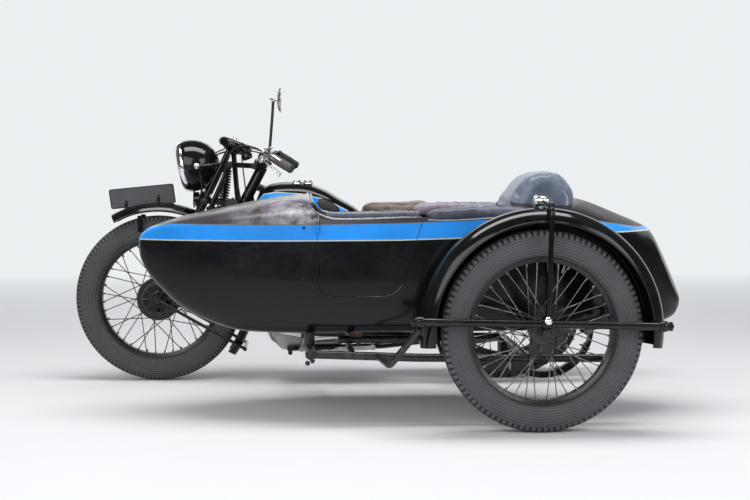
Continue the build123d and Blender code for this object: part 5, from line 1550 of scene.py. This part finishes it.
# ---------------------------------------------------------------- sidecar chassis
def leaf_springs():
    """The sidecar's C springs, leaf by leaf, with their clips."""
    leaves = Form()
    for y in (570, 830):
        centre = Vector((-8, y, 305))
        for r, first, last in ((170.5, 180, 304), (165.2, 188, 304), (160, 200, 304), (154.6, 216, 304)):
            rings = []
            for i in range(41):
                out = outward(math.radians(mixed(first, last, i / 40)))
                rings.append([centre + out * (r + dr) + ALONG_Y * dy
                              for dr, dy in ((2.3, -21), (2.3, 21), (1.6, 22), (-1.6, 22), (-2.3, 21), (-2.3, -21),
                                             (-1.6, -22), (1.6, -22))])
            leaves.rings(rings)
        for angle in (205, 250, 290):
            out = outward(math.radians(angle))
            for way in (1, -1):
                leaves.tube([centre + out * reach + ALONG_Y * way * wide
                             for reach, wide in ((149, 20), (151, 24.6), (172, 24.6), (175, 18))], 3, 8)
    leaves.piece("leaf_springs", "chassis", "ChassisPaint", ["c_springs"])


def rail_fittings():
    """The outer rail's nuts and collars, the guard's stay and the axle's cap."""
    nuts = Form()
    nuts.nut((471, 1200, 371), (1, 0, 0), 16, 11, 0.45)
    nuts.nut((-346, 1200, 352), (-1, 0, 0), 16, 11, 0.45)
    for x, z in ((447, 370.4), (-336, 352.2)):
        nuts.turn([(17.5, 0), (18.5, 2), (18.5, 14), (17.5, 16)], (x, 1200, z), (1, 0, 0.023), 28)
    for x in (38, 62):
        nuts.nut((x, 1212, 361.8), ALONG_Y, 6, 5, 0.4)
    nuts.piece("rail_nuts", "chassis", "RailPaint")
    stays = Form()
    stays.tube(rounded(((42, 1196.5, 368), (40, 1196.5, 460), (36.5, 1196.5, 640), (34.5, 1196.5, 705),
                        (34, 1191, 724), (34, 1177, 731), (34, 1150, 735.5)), 6), 8.6, 14)
    stays.plate(soft_corners([(12, 366), (66, 366), (60, 396), (20, 396)], 6), (0, 1188, 0), AHEAD, UP, 4, 1)
    stays.piece("guard_stays", "chassis", "BlackEnamel")
    bright = Form()
    bright.nut((38, 1190, 380), ALONG_Y, 7, 6, 0.45)
    bright.turn([(0.01, -4), (11, -3), (13, 0), (12, 6), (8, 9), (0.01, 11)], (46, 1212, 372), (0, 1, 0.3), 24)
    bright.mark = 1
    bright.turn([(15, -6), (16.5, -4), (16.5, 1), (14, 4), (8, 6), (0.01, 6.6)], SIDE_AXLE + ALONG_Y * 93, sides=32)
    bright.turn([(0.01, -5), (10, -4), (13, -1), (13, 4), (10, 9), (0.01, 11)], (34, 1180, 738), (0, 0.4, 1), 24)
    bright.piece("axle_cap", "chassis", ["Chrome", "RailPaint"])


def guard_screen():
    """The deep inner side of the sidecar's guard, and the rubber mount ahead of it."""
    screen = Form()
    rows = []
    for k in range(61):
        out = outward(math.radians(mixed(-7, 187.5, k / 60)))
        rows.append([SIDE_AXLE + out * r + ALONG_Y * y
                     for r, y in ((322, -60), (322, -62.5), (360, -62.5), (360, -60))])
    screen.rings(rows)
    screen.piece("side_guard_screen", "chassis", "BlackEnamel")
    mount = Form()
    mount.block((616.5, 779, 277.5), (663.5, 821, 301.5), 5)
    mount.piece("body_mount", "chassis", "MountRubber")


def strut_clamps():
    """The clamps on the struts between sidecar and motorcycle."""
    clamps = Form()
    radius = 15
    for start, end in (((700, 430, 238), (1009.6, 39, 638)), ((250, 430, 227), (535, 55.4, 521))):
        start, end = Vector(start), Vector(end)
        way = (end - start).normalized()
        for along in (26, (end - start).length - 30):
            spot = start + way * along
            clamps.turn([(11, -14), (radius, -13), (radius + 1, -11), (radius + 1, 11), (radius, 13), (11, 14)],
                        spot, way, 24)
            clamps.nut(spot + ALONG_Y * radius, ALONG_Y, 8, 7, 0.45)
    for x, z in ((800, 241), (808, 214)):
        for k in (0, 1):
            clamps.nut((x - 16 * k, 1014, z + 8 * k), ALONG_Y, 9, 8, 0.45)
    clamps.piece("strut_clamps", "chassis", "ChassisPaint")


def side_lamp():
    """The chrome torpedo lamp on the mudguard, with its lens, bezel and wing nut."""
    middle = Vector((52, SIDE_AXLE.y, 751))
    lamp = Form()
    lamp.turn([(0.01, -29), (5, -28), (10.5, -23), (15, -13), (17.6, 0), (18.2, 17), (19.6, 19), (20, 23), (18, 27),
               (16, 27)], middle, AHEAD, 40)
    lamp.bar((54, 1120, 727), (54, 1120, 738), 8)
    lamp.nut((54, 1120, 728), UP, 11, 5, 0)
    lamp.tube(rounded(((64, 1120, 736), (50, 1124, 732), (36, 1130, 727)), 4), 5, 10, flat=0.7)
    lamp.piece("side_lamp_shell", "chassis", "DullChrome", ["side_lamp"])
    lens = Form()
    lens.turn([(17, 26), (14, 29), (8, 30.5), (0.01, 31)], middle, AHEAD, 32)
    lens.piece("side_lamp_lens", "chassis", "LampGlass")


def tail_lens():
    """The tail lamp's red lens."""
    tail = Form()
    tail.turn([(26, 0), (26, 3), (20, 8), (10, 10.5), (0.01, 11)], (-401, 0, 520), (-1, 0, 0), 36)
    tail.piece("tail_lamp_lens", "chassis", "RedGlass")


# ---------------------------------------------------------------- stage
def studio_floor():
    """A pale floor with a curved wall behind."""
    wall = Form()
    reach, back, curve, height = 9000, -5200, 1500, 6000
    rows = [(5200, 0), (0, 0), (back, 0)]
    rows += [(back - curve * math.sin(a), curve - curve * math.cos(a)) for a in quarter(12)[1:]]
    rows += [(back - curve, height)]
    wall.rings([[(x, y, z) for y, z in rows] for x in (600 - reach, 600 + reach)], around=False, caps=False)
    obj = wall.raw("studio_floor", "Floor")
    obj.data.shade_smooth()


def lamps():
    """Four soft lamps."""
    for name, place, aim, size, power, colour in (
            ("Overhead", (500, 700, 4200), (500, 500, 300), (4.2, 1.3), 175, (1, 0.99, 0.98)),
            ("Front", (2600, 4600, 2600), (500, 700, 500), (4.4, 3.0), 135, (1, 1, 1)),
            ("Rear", (-2600, 3600, 2400), (300, 700, 500), (2.2, 2.2), 60, (0.97, 0.985, 1)),
            ("Back", (600, -3600, 2600), (500, 300, 600), (4.5, 2.0), 25, (0.97, 0.985, 1))):
        lamp = bpy.data.lights.new(name, "AREA")
        lamp.shape, (lamp.size, lamp.size_y) = "RECTANGLE", size
        lamp.energy, lamp.color = power * bpy.context.scene.sidecar_stage.light, colour
        obj = bpy.data.objects.new(name, lamp)
        obj.location = V(*place)
        obj.rotation_euler = (V(*aim) - V(*place)).to_track_quat("-Z", "Y").to_euler()
        bpy.context.scene.collection.objects.link(obj)


def surroundings():
    """The even light from all round, which the camera sees as a pale backdrop."""
    world = bpy.data.worlds.new("Studio")
    world.use_nodes = True
    nodes, links = world.node_tree.nodes, world.node_tree.links
    path = nodes.new("ShaderNodeLightPath")
    seen = nodes.new("ShaderNodeMath")
    seen.operation = "MAXIMUM"
    links.new(path.outputs["Is Camera Ray"], seen.inputs[0])
    links.new(path.outputs["Is Transmission Ray"], seen.inputs[1])
    gloss = nodes.new("ShaderNodeMix")
    shade = nodes.new("ShaderNodeMix")
    gloss.data_type = shade.data_type = "RGBA"
    gloss.inputs["A"].default_value = (0.46, 0.47, 0.49, 1)         # the light that falls from all round
    gloss.inputs["B"].default_value = (0.10, 0.105, 0.115, 1)       # what glossy paint reflects
    shade.inputs["B"].default_value = (*BACKDROP, 1)
    links.new(path.outputs["Is Glossy Ray"], gloss.inputs["Factor"])
    links.new(gloss.outputs["Result"], shade.inputs["A"])
    links.new(seen.outputs[0], shade.inputs["Factor"])
    links.new(shade.outputs["Result"], nodes["Background"].inputs["Color"])
    bpy.context.scene.world = world


def camera_view():
    """The camera, low and a little ahead of the sidecar's wheel."""
    camera = bpy.data.objects.new("Camera", bpy.data.cameras.new("Camera"))
    camera.data.lens = 64.5
    camera.data.sensor_width = 36
    yaw, pitch, roll = math.radians(3.43), math.radians(3.78), math.radians(0.126)
    way = Vector((-math.sin(yaw) * math.cos(pitch), -math.cos(yaw) * math.cos(pitch), -math.sin(pitch)))
    turn = way.to_track_quat("-Z", "Y").to_matrix().to_4x4()
    camera.matrix_world = Matrix.Translation(V(850, 5412, 878)) @ turn @ Matrix.Rotation(roll, 4, "Z")
    bpy.context.scene.collection.objects.link(camera)
    bpy.context.scene.camera = camera
    bpy.context.scene.view_settings.view_transform = "Standard"


# ---------------------------------------------------------------- add-on: settings, operators, panel
def colour_setting(name, description, default):
    """A colour property for the panel."""
    return bpy.props.FloatVectorProperty(name=name, description=description, default=default, subtype="COLOR",
                                         size=3, min=0, max=1)


class PaintSettings(bpy.types.PropertyGroup):
    """Colours of the paint and the upholstery."""
    enamel: colour_setting("Enamel", "Main colour of the frame, guards and body", (0.0035, 0.0037, 0.0045))
    band: colour_setting("Band", "Colour of the band along the body and of the tank's panels", (0.020, 0.262, 0.78))
    lining: colour_setting("Lining", "Colour of the thin lines beside the band", (0.50, 0.48, 0.38))
    seats: colour_setting("Seats", "Leather of the passenger's seat and headrest", (0.060, 0.075, 0.11))
    pads: colour_setting("Pads", "Leather of the cockpit's side pads", (0.125, 0.10, 0.13))
    saddle: colour_setting("Saddle", "Leather of the rider's saddle", (0.050, 0.034, 0.031))


class TrimSettings(bpy.types.PropertyGroup):
    """Sizes of the trim."""
    tread: bpy.props.FloatProperty(name="Tread", description="Depth of the tyres' grooves", default=0.0036,
                                   min=0.001, max=0.008, unit="LENGTH", subtype="DISTANCE")
    coils: bpy.props.IntProperty(name="Coils", description="Turns of the fork's spring", default=14, min=6, max=18)


class StageSettings(bpy.types.PropertyGroup):
    """The studio round the outfit."""
    light: bpy.props.FloatProperty(name="Light", description="Strength of all lamps", default=1.0, min=0.1, max=5,
                                   subtype="FACTOR")
    floor: colour_setting("Floor", "Colour of the studio floor", (0.60, 0.61, 0.62))


class Maker:
    """What the operators share: each takes its steps in turn."""
    steps = ()

    def execute(self, context):
        """Takes the steps."""
        for step in self.steps:
            step()
        return {"FINISHED"}


class SIDECAR_OT_nodes(Maker, bpy.types.Operator):
    """Give the CAD nodes that keep their shape their materials"""
    bl_idname = "sidecar.nodes"
    bl_label = "Frame finishes"
    steps = (finish_nodes,)


class SIDECAR_OT_body(Maker, bpy.types.Operator):
    """Make the sidecar's body, its door and their trim"""
    bl_idname = "sidecar.body"
    bl_label = "Sidecar body"
    steps = (sidecar_body, deck_trim)


class SIDECAR_OT_upholstery(Maker, bpy.types.Operator):
    """Make the passenger's seat, headrest, pads and rolls"""
    bl_idname = "sidecar.upholstery"
    bl_label = "Upholstery"
    steps = (seats, seat_hump, hump_panels, cockpit_edge, side_pads, door_roll)


class SIDECAR_OT_wheels(Maker, bpy.types.Operator):
    """Make the tyres and the trim of the three wheels"""
    bl_idname = "sidecar.wheels"
    bl_label = "Wheels and tyres"
    steps = (tyres, wheel_trim)


class SIDECAR_OT_tank(Maker, bpy.types.Operator):
    """Make the fuel tank and the rider's saddle"""
    bl_idname = "sidecar.tank"
    bl_label = "Tank and saddle"
    steps = (fuel_tank, filler_caps, knee_grips, saddle, saddle_springs)


class SIDECAR_OT_front(Maker, bpy.types.Operator):
    """Make the details of the fork, headlamp, dials, handlebar and front guard"""
    bl_idname = "sidecar.front"
    bl_label = "Fork and controls"
    steps = (barrel_spring, fork_nuts, dampers, control_cables, headlamp, lamp_brackets, instruments, handlebar,
             grips, bar_controls, bar_mirror, front_plate, front_guard_edges, brake_plate)


class SIDECAR_OT_engine(Maker, bpy.types.Operator):
    """Make the engine's screws, pipes and leads and the rear chain"""
    bl_idname = "sidecar.engine"
    bl_label = "Engine and chain"
    steps = (case_screws, pipes_and_leads, chain_links)


class SIDECAR_OT_chassis(Maker, bpy.types.Operator):
    """Make the chassis springs, stays, nuts, mounts and lamps"""
    bl_idname = "sidecar.chassis"
    bl_label = "Sidecar chassis"
    steps = (leaf_springs, rail_fittings, guard_screen, strut_clamps, side_lamp, tail_lens)


class SIDECAR_OT_stage(Maker, bpy.types.Operator):
    """Make the floor, the lamps and the camera"""
    bl_idname = "sidecar.stage"
    bl_label = "Studio stage"
    steps = (studio_floor, lamps, surroundings, camera_view)


class SIDECAR_PT_panel(bpy.types.Panel):
    """Lists the operators and their settings"""
    bl_idname = "SIDECAR_PT_panel"
    bl_label = "Sidecar motorcycle"
    bl_space_type = "VIEW_3D"
    bl_region_type = "UI"
    bl_category = "Sidecar"

    def draw(self, context):
        """Lays out the settings in boxes, with the operators below."""
        layout = self.layout
        for group in (context.scene.sidecar_paint, context.scene.sidecar_trim, context.scene.sidecar_stage):
            box = layout.box()
            for name in group.__annotations__:
                box.prop(group, name)
        for operator in OPERATORS:
            layout.operator(operator.bl_idname)


OPERATORS = (SIDECAR_OT_nodes, SIDECAR_OT_body, SIDECAR_OT_upholstery, SIDECAR_OT_wheels, SIDECAR_OT_tank,
             SIDECAR_OT_front, SIDECAR_OT_engine, SIDECAR_OT_chassis, SIDECAR_OT_stage)
CLASSES = (PaintSettings, TrimSettings, StageSettings) + OPERATORS + (SIDECAR_PT_panel,)


def register():
    """Makes the classes known to Blender and hangs the settings on the scene."""
    for cls in CLASSES:
        bpy.utils.register_class(cls)
    bpy.types.Scene.sidecar_paint = bpy.props.PointerProperty(type=PaintSettings)
    bpy.types.Scene.sidecar_trim = bpy.props.PointerProperty(type=TrimSettings)
    bpy.types.Scene.sidecar_stage = bpy.props.PointerProperty(type=StageSettings)


def unregister():
    """Takes back what register did."""
    del bpy.types.Scene.sidecar_paint, bpy.types.Scene.sidecar_trim, bpy.types.Scene.sidecar_stage
    for cls in reversed(CLASSES):
        bpy.utils.unregister_class(cls)


def main():
    """Dresses the frame, step by step."""
    register()
    for operator in OPERATORS:
        getattr(bpy.ops.sidecar, operator.bl_idname.split(".")[1])()


if __name__ == "__main__":
    main()
